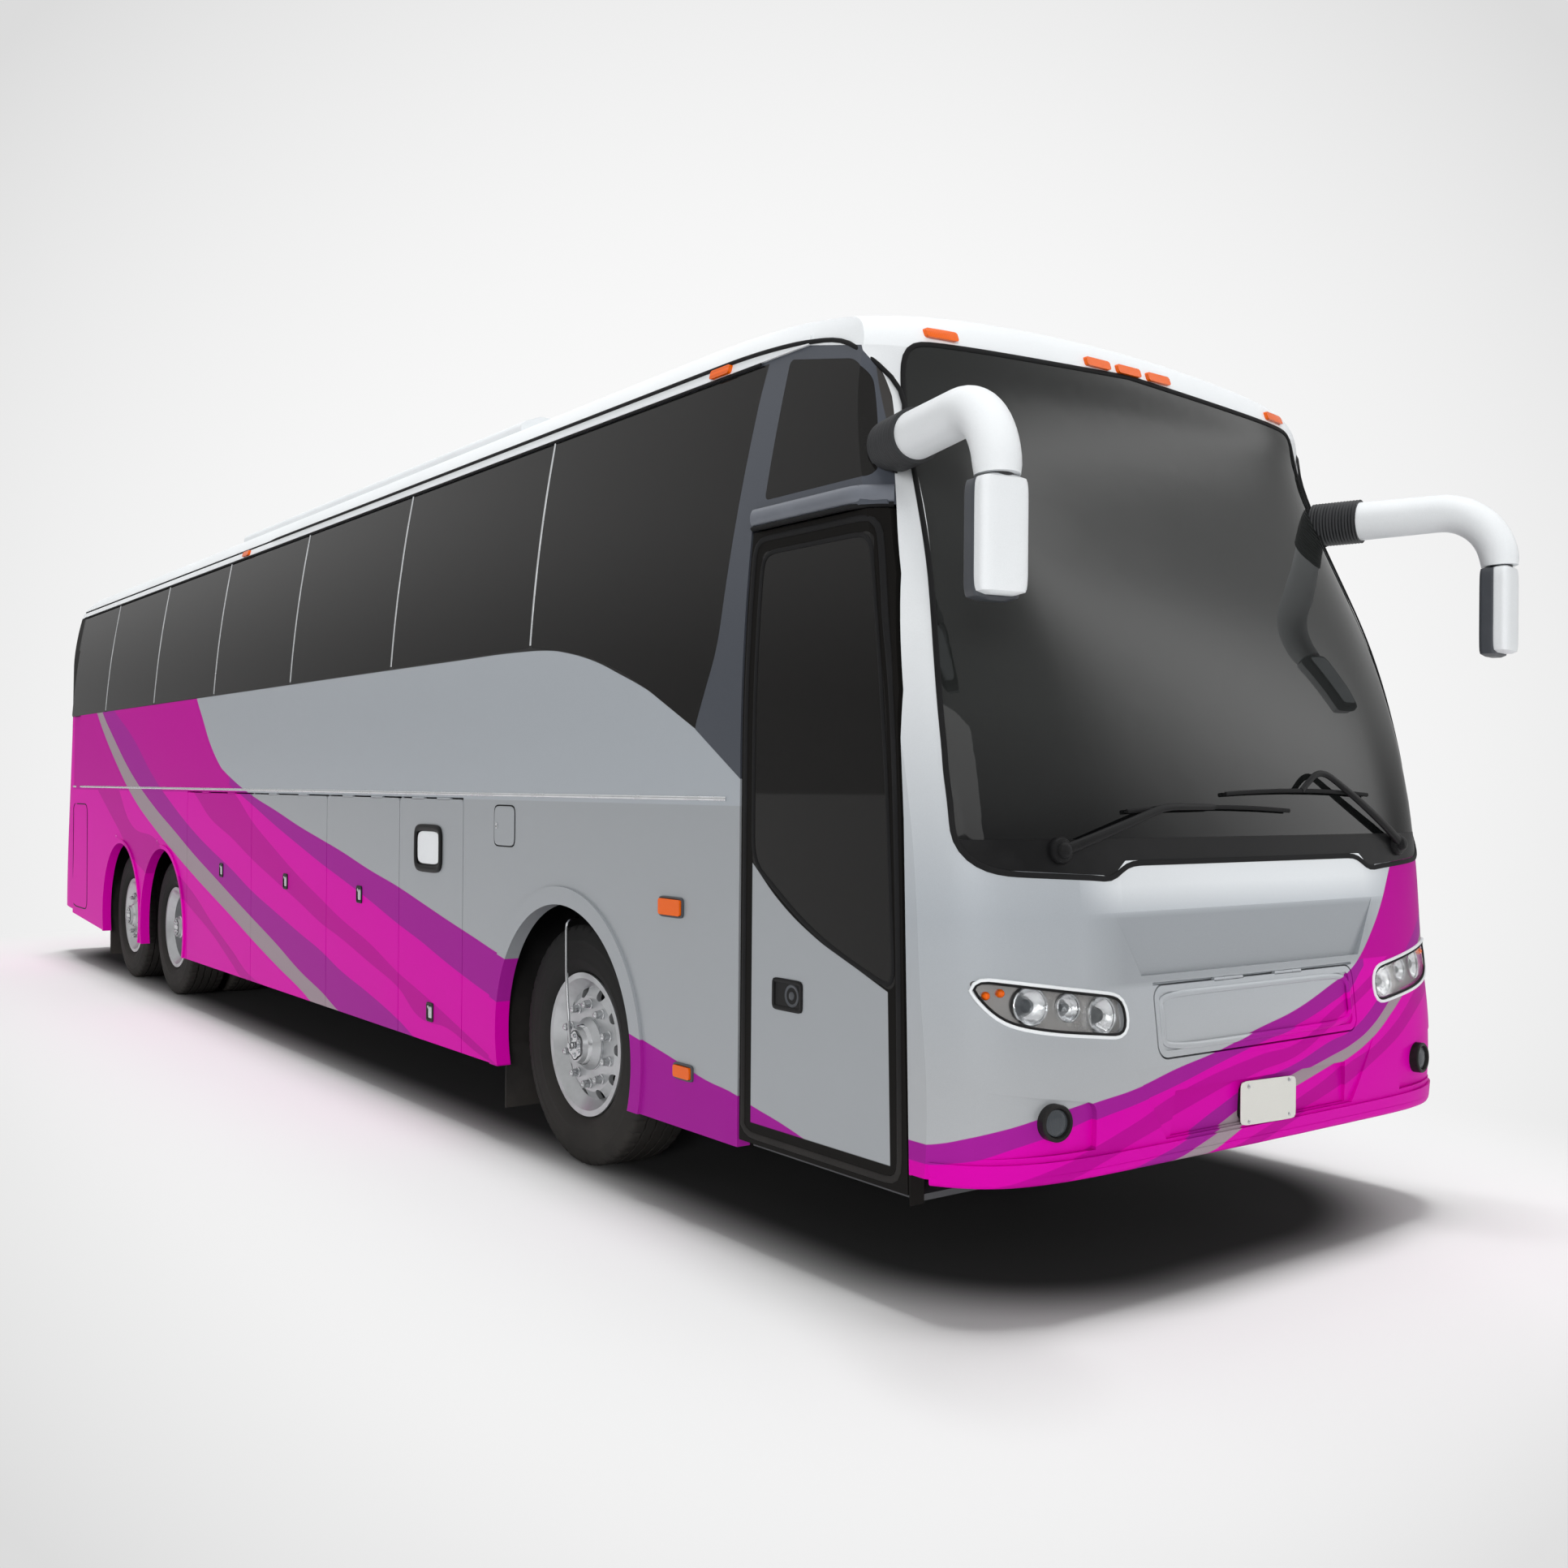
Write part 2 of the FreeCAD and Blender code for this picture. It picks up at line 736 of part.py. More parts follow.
# Wipers: arm from its pivot to the middle of a blade, in the front view
wiper_pivots = ((-910, 1405), (911, 1398))
wiper_middles = ((-330, 1545), (280, 1590))
blade_half = 420
blade_rise = 22
blade_width = 16
arm_width = 24
wiper_stand_off = 2
wiper_depth = 22


def band(a, b, width):
    along = Vector(0, b[0] - a[0], b[1] - a[1]).normalize() * (width / 2)
    side = Vector(0, -along.z, along.y)
    corners = [Vector(0, a[0], a[1]) - along + side, Vector(0, a[0], a[1]) - along - side,
               Vector(0, b[0], b[1]) + along - side, Vector(0, b[0], b[1]) + along + side]
    return solid_of(Part.Face(Part.makePolygon(corners + corners[:1])).extrude(Vector(far_ahead + overrun, 0, 0)))


def make_wipers():
    layer = ahead_of_nose(wiper_stand_off + wiper_depth).cut(ahead_of_nose(wiper_stand_off))
    wipers = []
    for pivot, middle in zip(wiper_pivots, wiper_middles):
        arm = band(pivot, middle, arm_width).common(layer)
        blade = band((middle[0] - blade_half, middle[1] - blade_rise),
                     (middle[0] + blade_half, middle[1] + blade_rise), blade_width).common(layer)
        boss = cylinder_x(pivot[0], pivot[1], arm_width, 0, far_ahead)
        boss = boss.common(ahead_of_nose(wiper_stand_off + wiper_depth)).cut(ahead_of_nose(fit_gap))
        wipers.append(joined([arm, blade, boss]))
    return group(wipers)


# Amber lamps: header row, roof rail, and two on each side
header_lamp_ys = (-909, -167, 0, 167, 909)
header_lamp_z = 3135
header_lamp_fall = 30
header_lamp_half = (62, 17)
rail_lamp_xs = (951, -4700)
side_lamps = ((838, 1143, 74, 30), (931, 544, 55, 22))
lamp_proud = 16
lamp_corner = 10


def lamp_corners(across, up, half_across, half_up):
    return ((across - half_across, up - half_up), (across + half_across, up - half_up),
            (across + half_across, up + half_up), (across - half_across, up + half_up))


def make_markers():
    lamps = []
    skin = ahead_of_nose(lamp_proud).cut(nose)
    for y in header_lamp_ys:
        z = header_lamp_z - header_lamp_fall * (y / header_lamp_ys[-1]) ** 2
        lamps.append(front_prism(lamp_corners(y, z, *header_lamp_half), lamp_corner, 0, far_ahead).common(skin))
    for x, z, half_x, half_z in side_lamps:
        outline = side_prism(lamp_corners(x, z, half_x, half_z), lamp_corner, 0, far)
        lamps += both_sides([proud_side(outline, lamp_proud)])
    rail_lamp_z = (roof_seam_z + rail_top_z) / 2
    for x in rail_lamp_xs:
        outline = side_prism(lamp_corners(x, rail_lamp_z, *header_lamp_half), lamp_corner, 0, far)
        lamps += both_sides([proud_side(outline, rail_proud + lamp_proud).cut(section_block(-rail_proud, 0))])
    return group(lamps)


# Tail: lamps in a column each side, engine hatch, back window
tail_lamp_y = 1085
tail_lamp_zs = (870, 1040, 1210, 1380)
tail_lamp_radius = 62
hatch_half = 820
hatch_low_z = 640
hatch_top_z = 1640
hatch_corner = 60


def hatch_prism(by):
    corners = ((-hatch_half, hatch_low_z), (hatch_half, hatch_low_z), (hatch_half, hatch_top_z),
               (-hatch_half, hatch_top_z))
    return front_prism(corners, hatch_corner, far_behind, rear_seam_x, by)


def back_pane_prism(by):
    corners = ((-back_pane_half, back_pane_low_z), (back_pane_half, back_pane_low_z),
               (back_pane_half, back_pane_top_z), (-back_pane_half, back_pane_top_z))
    return front_prism(corners, back_pane_corner, far_behind, rear_seam_x + overrun, by)


def tail_lamp_cutters(by):
    lamps = [cylinder_x(tail_lamp_y, z, tail_lamp_radius + by, far_behind, rear_seam_x) for z in tail_lamp_zs]
    return both_sides(lamps)


def make_rear(shell, roof):
    region = box(far_behind, rear_seam_x, -far, far, 0, crown_z)
    cap = shell.common(region).cut(roof)
    hatch = cap.common(hatch_prism(-door_gap / 2))
    cap = cap.cut([hatch_prism(door_gap / 2), back_pane_prism(0)] + tail_lamp_cutters(0))
    cap, hatch = hang_across(cap, hatch, tail, hatch_half, hatch_top_z)
    pane = back_pane_prism(-fit_gap).common(tail).cut(behind_tail(-glass))
    lamps = [lamp.common(behind_tail(lens)).cut(behind_tail(-wall / 2)) for lamp in tail_lamp_cutters(-fit_gap)]
    return cap, hatch, pane, group(lamps)


# Mirrors: sleeve and tapering arm from the front pillar, bent down to a head turned a little outwards
mirror_base = (1890, 1150)
mirror_turn = (2575, 1345)
mirror_arm_z = 2690
mirror_bend = 225
sleeve_length = 190
sleeve_radius = 88
arm_start_radius = 80
elbow_radius = 70
mirror_head_low_z = 2118
mirror_head_top_z = 2462
mirror_head_depth = 106
mirror_head_width = 160
mirror_head_corner = 38
mirror_head_turn_deg = 10


def make_mirror():
    base = Vector(mirror_base[0], mirror_base[1], mirror_arm_z)
    over_head = Vector(mirror_turn[0], mirror_turn[1], mirror_arm_z)
    along = (over_head - base).normalize()
    bend_start = over_head - along * mirror_bend
    sleeve = Part.makeCylinder(sleeve_radius, sleeve_length, base, along)
    arm_start = base + along * (sleeve_length - fit_gap)
    arm = Part.makeCone(arm_start_radius, elbow_radius, (bend_start - arm_start).Length, arm_start, along)
    ring = Part.Face(Part.Wire(Part.makeCircle(elbow_radius, bend_start, along)))
    across = along.cross(Vector(0, 0, 1))
    elbow = solid_of(ring.revolve(bend_start - Vector(0, 0, mirror_bend), across, -90))
    half_depth = mirror_head_depth / 2
    half_head = mirror_head_width / 2
    head = side_prism([(over_head.x - half_depth, mirror_head_low_z), (over_head.x + half_depth, mirror_head_low_z),
                       (over_head.x + half_depth, mirror_head_top_z),
                       (over_head.x - half_depth, mirror_head_top_z)],
                      mirror_head_corner, over_head.y - half_head, over_head.y + half_head)
    head.rotate(over_head, Vector(0, 0, 1), mirror_head_turn_deg)
    neck = cylinder_z(over_head.x, over_head.y, mirror_head_corner, mirror_head_top_z - mirror_head_corner,
                      mirror_arm_z - mirror_bend + fit_gap)
    return joined([sleeve, arm, elbow, head, neck]).cut(hull(0))


# Wheels: tyre and rim outlines as (y from the tyre's centre plane, radius), outer side positive
tyre_half = tyre_width / 2
rim_half = 122
rim_flange_radius = 300
rim_well_radius = 246
rim_sheet = 12
disc_radius = 200
disc_sheet = 22
hub_radius = 98
hub_nose = 165
hand_holes = 10
hand_hole_radius = 27
hand_hole_circle = 222
hand_hole_reach = 66
nut_circle = 167.5
nut_radius = 15
nut_length = 38
tyre_half_shares = (0.7, 0.95, 1, 0.9, 0.78)
tyre_rounds = (0, 20, 60, 12, 0)
bead_bulge = 43
shoulder_drop = 13
rim_lip_share = 0.93
rim_seat_share = 0.6
rim_well_share = 0.4
hub_nose_shares = (0.8, 0.7)


def make_tyre(x, y):
    heights = (bead_radius, bead_radius + bead_bulge, (axle_z + bead_radius) / 2, axle_z - shoulder_drop, axle_z)
    half = [(tyre_half * share, out) for share, out in zip(tyre_half_shares, heights)]
    corners = half + [(-across, out) for across, out in reversed(half)]
    return turned(corners, tyre_rounds + tyre_rounds[::-1], x, y)


# One rim with its drop well, outer face towards positive y
def rim_shape(x, y):
    seat = bead_radius - fit_gap
    inside = rim_well_radius - rim_sheet
    lip = rim_half * rim_lip_share
    ledge = rim_half * rim_seat_share
    well = rim_half * rim_well_share
    return turned([(-rim_half, rim_flange_radius), (-rim_half, rim_flange_radius - rim_sheet), (-ledge, inside),
                   (ledge, inside), (rim_half, rim_flange_radius - rim_sheet * 2), (rim_half, rim_flange_radius),
                   (lip, rim_flange_radius), (lip, seat), (ledge, seat), (well, rim_well_radius),
                   (-well, rim_well_radius), (-ledge, seat), (-lip, seat), (-lip, rim_flange_radius)], 0, x, y)


def disc_shape(x, y, disc_y, rim_y):
    root = rim_well_radius - rim_sheet / 2
    disc = turned([(rim_y, root), (disc_y, disc_radius), (disc_y, spindle_radius + spin_gap),
                   (disc_y - disc_sheet, spindle_radius + spin_gap), (disc_y - disc_sheet, disc_radius),
                   (rim_y - disc_sheet, root)], 0, x, y)
    middle = y + (rim_y + disc_y) / 2
    cutters = []
    nuts = []
    for i in range(hand_holes):
        angle = 2 * math.pi * i / hand_holes
        cutters.append(cylinder_y(x + hand_hole_circle * math.cos(angle), axle_z + hand_hole_circle * math.sin(angle),
                                  hand_hole_radius, middle - hand_hole_reach, middle + hand_hole_reach))
        angle = 2 * math.pi * (i + 1 / 2) / hand_holes
        nuts.append(cylinder_y(x + nut_circle * math.cos(angle), axle_z + nut_circle * math.sin(angle),
                               nut_radius, y + disc_y - disc_sheet / 2, y + disc_y + nut_length))
    return [disc.cut(cutters)] + nuts


def hub_shape(x, y, disc_y, nose_y):
    bore = spindle_radius + spin_gap
    shoulder, cap = (hub_radius * share for share in hub_nose_shares)
    return turned([(disc_y - disc_sheet, bore), (disc_y - disc_sheet, hub_radius + rim_sheet),
                   (disc_y + rim_sheet, hub_radius + rim_sheet), (nose_y - disc_sheet, shoulder),
                   (nose_y, cap), (nose_y, 0), (nose_y - disc_sheet, 0), (nose_y - disc_sheet, bore)], 0, x, y)


single_disc_y = 92
dual_disc_y = -60
dual_nose = hub_nose - disc_sheet * 2
inner_disc_root_y = 24
inner_disc_share = 0.8


def make_single_wheel(x):
    y = tyre_centre_y
    rim = joined([rim_shape(x, y)] + disc_shape(x, y, single_disc_y, single_disc_y - disc_sheet)
                 + [hub_shape(x, y, single_disc_y, hub_nose)])
    return make_tyre(x, y), rim


def make_dual_wheel(x):
    outer = tyre_centre_y
    inner = tyre_centre_y - twin_spacing
    rim = joined([rim_shape(x, outer)] + disc_shape(x, outer, dual_disc_y, dual_disc_y + disc_sheet * 2)
                 + [hub_shape(x, outer, dual_disc_y, dual_nose)])
    face = twin_spacing + dual_disc_y - disc_sheet
    bore = spindle_radius + spin_gap
    root = rim_well_radius - rim_sheet / 2
    dish = turned([(inner_disc_root_y, root), (face, disc_radius * inner_disc_share), (face, bore),
                   (face - disc_sheet, bore), (inner_disc_root_y - disc_sheet, root)], 0, x, inner)
    inside = joined([rim_shape(x, inner), dish])
    return group([make_tyre(x, outer), make_tyre(x, inner)]), joined([rim, inside])


# Axles: dropped front beam with kingpin eyes, drive axle with its differential, tag tube
beam_half = 45
beam_end_y = 800
beam_low_z_front = 400
beam_height = 100
eye_radius = 46
eye_half = 66
neck_half = 56
drive_tube_radius = 75
differential_radius = 175
tag_tube_radius = 60


def spindle_end(nose_y):
    return tyre_centre_y + nose_y - disc_sheet * 2


def make_axles():
    beam = box(-beam_half, beam_half, -beam_end_y, beam_end_y, beam_low_z_front,
               beam_low_z_front + beam_height)
    neck_y = kingpin_y - eye_radius / 2
    neck = box(-beam_half, beam_half, -neck_y, neck_y, axle_z - neck_half, axle_z + neck_half)
    neck = neck.cut(box(-beam_half, beam_half, -beam_end_y + beam_height, beam_end_y - beam_height, 0, crown_z))
    eyes = both_sides([cylinder_z(0, kingpin_y, eye_radius, axle_z - eye_half, axle_z + eye_half)])
    bores = both_sides([cylinder_z(0, kingpin_y, kingpin_radius + fit_gap, 0, axle_z * 2)])
    front = joined([beam, neck] + eyes).cut(bores)
    inner = tyre_centre_y - twin_spacing - tyre_width
    drive = joined([cylinder_y(drive_x, axle_z, drive_tube_radius, -inner, inner),
                    cylinder_y(drive_x, axle_z, spindle_radius, -spindle_end(dual_nose), spindle_end(dual_nose)),
                    Part.makeSphere(differential_radius, Vector(drive_x, 0, axle_z))])
    reach = tyre_centre_y - tyre_width
    tag = joined([cylinder_y(tag_x, axle_z, tag_tube_radius, -reach, reach),
                  cylinder_y(tag_x, axle_z, spindle_radius, -spindle_end(hub_nose), spindle_end(hub_nose))])
    return group([front, drive, tag])


# Steering: each knuckle is a fork over the axle's eye, with the wheel's spindle and a rear arm
fork_plate = 30
fork_gap = 3
steer_arm_x = -190
steer_arm_half = 24
tie_pin_radius = 12
tie_rod_radius = 15
tie_eye_half = 18
tie_rod_z = 362
tie_eye_radius = 26


def make_knuckle():
    low = axle_z - eye_half - fork_gap
    high = axle_z + eye_half + fork_gap
    fork_y = kingpin_y + eye_radius + fork_gap * 2
    plates = [cylinder_z(0, kingpin_y, eye_radius, low - fork_plate, low),
              cylinder_z(0, kingpin_y, eye_radius, high, high + fork_plate),
              box(-eye_radius, eye_radius, kingpin_y, fork_y, low - fork_plate, low),
              box(-eye_radius, eye_radius, kingpin_y, fork_y, high, high + fork_plate)]
    back = box(-eye_radius, eye_radius, fork_y, fork_y + fork_plate, low - fork_plate, high + fork_plate)
    kingpin = cylinder_z(0, kingpin_y, kingpin_radius, low - fork_plate, high + fork_plate)
    spindle = cylinder_y(0, axle_z, spindle_radius, fork_y, spindle_end(hub_nose))
    arm = box(steer_arm_x, 0, kingpin_y - steer_arm_half, kingpin_y + steer_arm_half, low - fork_plate, low)
    boss = cylinder_z(steer_arm_x, kingpin_y, tie_eye_radius, low - fork_plate, low)
    pin = cylinder_z(steer_arm_x, kingpin_y, tie_pin_radius, tie_rod_z - tie_eye_half, low)
    return joined(plates + [back, kingpin, spindle, arm, boss, pin])


def make_tie_rod():
    rod = cylinder_y(steer_arm_x, tie_rod_z, tie_rod_radius, -kingpin_y + tie_eye_radius / 2,
                     kingpin_y - tie_eye_radius / 2)
    eyes = both_sides([cylinder_z(steer_arm_x, kingpin_y, tie_eye_radius, tie_rod_z - tie_eye_half,
                                  tie_rod_z + tie_eye_half)])
    bores = both_sides([cylinder_z(steer_arm_x, kingpin_y, tie_pin_radius + fit_gap, 0, axle_z)])
    return joined([rod] + eyes).cut(bores)


# Rails: high over the axles, low under the luggage bays
rail_front_x = 1200
rail_back_x = -9700
front_bend = (-400, -680)
rear_bend = (-5610, -5850)
cross_half = 40
cross_behind_steer_axle = 205
cross_behind_tag_axle = 320
rail_bend_share = 0.25


def make_frame():
    high = rail_high_z
    low = rail_low_z
    rail_bend = rail_drop * rail_bend_share
    top = [(rail_front_x, high), (front_bend[0], high), (front_bend[1], low + rail_drop),
           (rear_bend[0], low + rail_drop), (rear_bend[1], high), (rail_back_x, high)]
    under = [(rail_back_x, high - rail_depth), (rear_bend[1] - rail_drop, high - rail_depth),
             (rear_bend[0] - rail_bend, low), (front_bend[1] + rail_bend, low),
             (front_bend[0] + rail_drop, high - rail_depth), (rail_front_x, high - rail_depth)]
    rail = side_prism(top + under, 0, rail_y, rail_y + rail_width)
    members = []
    inner = rail_y + rail_width / 2
    for x in (rail_front_x - cross_half, cross_behind_steer_axle, rear_bend[1] - cross_half,
              (drive_x + tag_x) / 2, tag_x - cross_behind_tag_axle, rail_back_x + cross_half):
        members.append(box(x - cross_half, x + cross_half, -inner, inner, high - rail_drop, high))
    for x in bay_seams[1:4]:
        members.append(box(x - cross_half, x + cross_half, -inner, inner, low, low + rail_drop))
    return joined(both_sides([rail]) + members)


spring_radius = 115
spring_y = 425


def make_springs():
    under = rail_high_z - rail_depth - fit_gap
    springs = []
    for x, top in ((0, beam_low_z_front + beam_height), (drive_x, axle_z + drive_tube_radius),
                   (tag_x, axle_z + tag_tube_radius)):
        springs += both_sides([cylinder_z(x, spring_y, spring_radius, top + fit_gap, under)])
    return group(springs)


# Closed boxes over the wheels, open towards the road and the arches
def housing(x_front, x_back):
    y_out = half_width - wall - fit_gap
    outer = box(x_back, x_front, housing_inner_y, y_out, housing_low_z, housing_top_z)
    inner = box(x_back + sheet, x_front - sheet, housing_inner_y + sheet, far, 0, housing_top_z - sheet)
    return outer.cut(inner)


def make_housings():
    reach = arch_radius + housing_margin
    front = housing(front_arch_shift + reach, front_arch_shift - reach)
    slot = box(-spring_radius * 2, spring_radius * 2, 0, housing_inner_y + sheet * 2, 0, rail_high_z - rail_depth)
    rear = housing(drive_x + reach, tag_x - reach)
    slots = [box(x - spring_radius * 2, x + spring_radius * 2, 0, housing_inner_y + sheet * 2, 0,
                 rail_high_z - rail_depth) for x in (drive_x, tag_x)]
    return group(both_sides([front.cut(slot), rear.cut(slots)]))


flap_low_z = 130
flap_top_z = 560


def make_flaps():
    flaps = []
    reach = arch_radius + housing_margin
    for x in (front_arch_shift - reach, tag_x - reach):
        flaps.append(box(x - sheet - fit_gap, x - fit_gap, half_width - wall - tyre_width, half_width - wall - sheet,
                         flap_low_z, flap_top_z))
    return group(both_sides(flaps))


bay_gap = 7
bay_behind_housing = 48
platform_front_x = 2100
aisle_steps = 3
step_tread = 240
step_inner_y = -340
aisle_half = 230
step_count = 3


def make_deck():
    y = half_width - wall - fit_gap
    low = deck_z - deck
    upper = box(tail_x + tail_lean + wall + overrun, deck_front_x, -y, y, low, deck_z)
    riser = box(deck_front_x - panel, deck_front_x, -y, y, platform_z - panel, low)
    platform = box(deck_front_x - panel, platform_front_x, step_inner_y, y, platform_z - panel, platform_z)
    rise = (deck_z - platform_z) / (aisle_steps + 1)
    aisle = [box(deck_front_x, deck_front_x + step_tread * (aisle_steps - i), -aisle_half, aisle_half, platform_z,
                 platform_z + rise * (i + 1)) for i in range(aisle_steps)]
    landing = box(deck_front_x - panel, door_rear_x, -y, step_inner_y, platform_z - panel, platform_z)
    return joined([upper, riser, platform, landing] + aisle)


# Stairs behind the entrance door, rising from the sill to the platform
def make_steps():
    outer_y = -(half_width - wall - bay_gap)
    rise = (platform_z - sill_z) / (step_count + 1)
    corners = [(step_inner_y - fit_gap, sill_z - panel), (outer_y, sill_z - panel), (outer_y, sill_z)]
    tread = (step_inner_y - fit_gap - outer_y) / (step_count + 1)
    z = sill_z
    y = outer_y + tread
    for i in range(step_count):
        corners.append((y, z))
        z += rise
        corners.append((y, z))
        y += tread
    corners.append((step_inner_y - fit_gap, z))
    stairs = front_prism(corners, 0, door_rear_x + fit_gap, front_line[0][0] - doorway_gap * 2)
    return stairs


def make_bays():
    y = half_width - wall - bay_gap
    front_x = front_arch_shift - arch_radius - housing_margin - bay_behind_housing
    floor = box(bay_seams[0], front_x, -y, y, bay_floor_z - panel, bay_floor_z)
    top = deck_z - deck - fit_gap
    walls = [box(x - panel / 2, x + panel / 2, -y, y, bay_floor_z - panel, top) for x in bay_seams[1:4]]
    walls.append(box(bay_seams[0], bay_seams[0] + panel, -y, y, bay_floor_z - panel, top))
    walls.append(box(front_x - panel, front_x, -y, y, bay_floor_z - panel, top))
    return joined([floor] + walls)


engine_front_x = -8350
engine_back_x = -9650
engine_low_z = 430
engine_top_z = 1280
gearbox_length = 560
gearbox_half = 200
shaft_radius = 38
head_set_back = 80
head_set_in = 120


# Engine block between the rails, gearbox ahead of it and the shaft to the differential
def make_engine():
    half = rail_y - fit_gap
    block = box(engine_back_x, engine_front_x, -half, half, engine_low_z, rail_high_z - rail_drop - fit_gap)
    upper = box(engine_back_x + head_set_in, engine_front_x - head_set_back, -half, half,
                rail_high_z - rail_drop - fit_gap, engine_top_z)
    gearbox = box(engine_front_x, engine_front_x + gearbox_length, -gearbox_half, gearbox_half, engine_low_z,
                  rail_high_z - rail_drop - panel)
    shaft_z = axle_z + tag_tube_radius + shaft_radius + panel
    shaft = cylinder_x(0, shaft_z, shaft_radius, engine_front_x + gearbox_length, drive_x)
    return joined([block, upper, gearbox, shaft]).cut(make_axles())


# Passenger seats in pairs each side of the aisle
seat_pitch = 830
seat_rows = 12
first_seat_x = 560
seat_outer_y = 1180
seat_pair_width = 900
seat_height = 450
seat_depth = 440
cushion = 120
driver_seat_half = 225
back_height = 720
back_lean = 150
back_foot_x = -48
seat_radii = (20, 50, 30, 30, 40, 40, 20)


def seat_outline():
    return ((0, 0), (seat_depth, 0), (seat_depth, cushion), (cushion, cushion), (cushion - back_lean, back_height),
            (-back_lean, back_height), (back_foot_x, cushion))


def make_seats():
    corners = seat_outline()
    seats = []
    base_z = deck_z + seat_height - cushion
    for i in range(seat_rows):
        x = first_seat_x - seat_depth - seat_pitch * i
        placed = [(x + a, base_z + b) for a, b in corners]
        pair = side_prism(placed, seat_radii, seat_outer_y - seat_pair_width, seat_outer_y)
        foot = box(x + cushion, x + seat_depth - cushion, seat_outer_y - seat_pair_width + cushion,
                   seat_outer_y - cushion, deck_z + fit_gap, base_z)
        seats += both_sides([joined([pair, foot])])
    x = driver_x
    placed = [(x + a, platform_z + seat_height - cushion + b) for a, b in corners]
    driver = side_prism(placed, seat_radii, driver_y - driver_seat_half,
                        driver_y + driver_seat_half)
    foot = box(x + cushion, x + seat_depth - cushion, driver_y - cushion, driver_y + cushion, platform_z + fit_gap,
               platform_z + seat_height - cushion)
    seats.append(joined([driver, foot]))
    return group(seats)


driver_x = 1080
driver_y = 640
dash_top_z = 1400
dash_depth = 300
dash_set_back = 180
dash_side_gap = 165
wheel_x = 1830
wheel_z = 1500
wheel_radius = 225
wheel_tube = 16
column_radius = 30
wheel_tilt_deg = 50
column_length = 495


def make_dash():
    low = platform_z + fit_gap
    front = box(0, far_ahead, -far, far, low, dash_top_z).common(ahead_of_nose(-dash_set_back))
    inside = front.cut(ahead_of_nose(-dash_set_back - dash_depth))
    across = half_width - dash_side_gap
    return inside.common(box(0, far_ahead, step_inner_y, across, low, dash_top_z))


def make_steering_wheel():
    axis = Vector(-math.sin(math.radians(wheel_tilt_deg)), 0, math.cos(math.radians(wheel_tilt_deg)))
    centre = Vector(wheel_x, driver_y, wheel_z)
    ring = Part.makeTorus(wheel_radius, wheel_tube, centre, axis)
    column = Part.makeCylinder(column_radius, column_length, centre - axis * column_length, axis)
    across = Vector(0, 1, 0)
    spoke = Part.makeCylinder(wheel_tube, wheel_radius * 2, centre - across * wheel_radius, across)
    return joined([ring, column, spoke]).cut(make_dash())


# Swing arm: a post inside the doorway with two arms, whose eyes turn on pins between lugs on the door
def make_arm():
    tip_x = arm_post_x - arm_length
    post = cylinder_z(arm_post_x, arm_post_y, post_radius, sill_z + fit_gap, post_top_z)
    pieces = [post]
    for z in arm_heights:
        pieces.append(cylinder_x(arm_post_y, z, arm_radius, tip_x, arm_post_x))
        pieces.append(cylinder_z(tip_x, arm_post_y, arm_eye_radius, z - arm_radius, z + arm_radius))
    bore = cylinder_z(tip_x, arm_post_y, hinge_pin_radius + fit_gap, 0, post_top_z)
    return joined(pieces).cut(bore)


def make_door(shell):
    slab = shell.common(side_prism(door_outline(), 0, -far, -pillar_inner_y))
    pane = [(door_pane, door_pane_radii)]
    door = glaze(slab, pane, -1).cut(pocket(handle_recess, handle_radius, handle_depth))
    tip_x = arm_post_x - arm_length
    lugs = []
    for z in arm_heights:
        low = z - arm_eye_radius - hinge_lug
        high = z + arm_eye_radius
        for lug_z in (low, high):
            lugs.append(box(tip_x - arm_eye_radius, tip_x + arm_eye_radius, -(half_width - wall),
                            arm_post_y + arm_radius, lug_z, lug_z + hinge_lug))
        lugs.append(cylinder_z(tip_x, arm_post_y, hinge_pin_radius, low, high + hinge_lug))
    rail = box(tip_x - arm_eye_radius, tip_x + arm_eye_radius, -(half_width - wall),
               -(half_width - wall) + hinge_lug, arm_heights[0] - door_rib_reach,
               arm_heights[1] + door_rib_reach)
    return joined([door, rail] + lugs), group(make_panes(pane, -1))


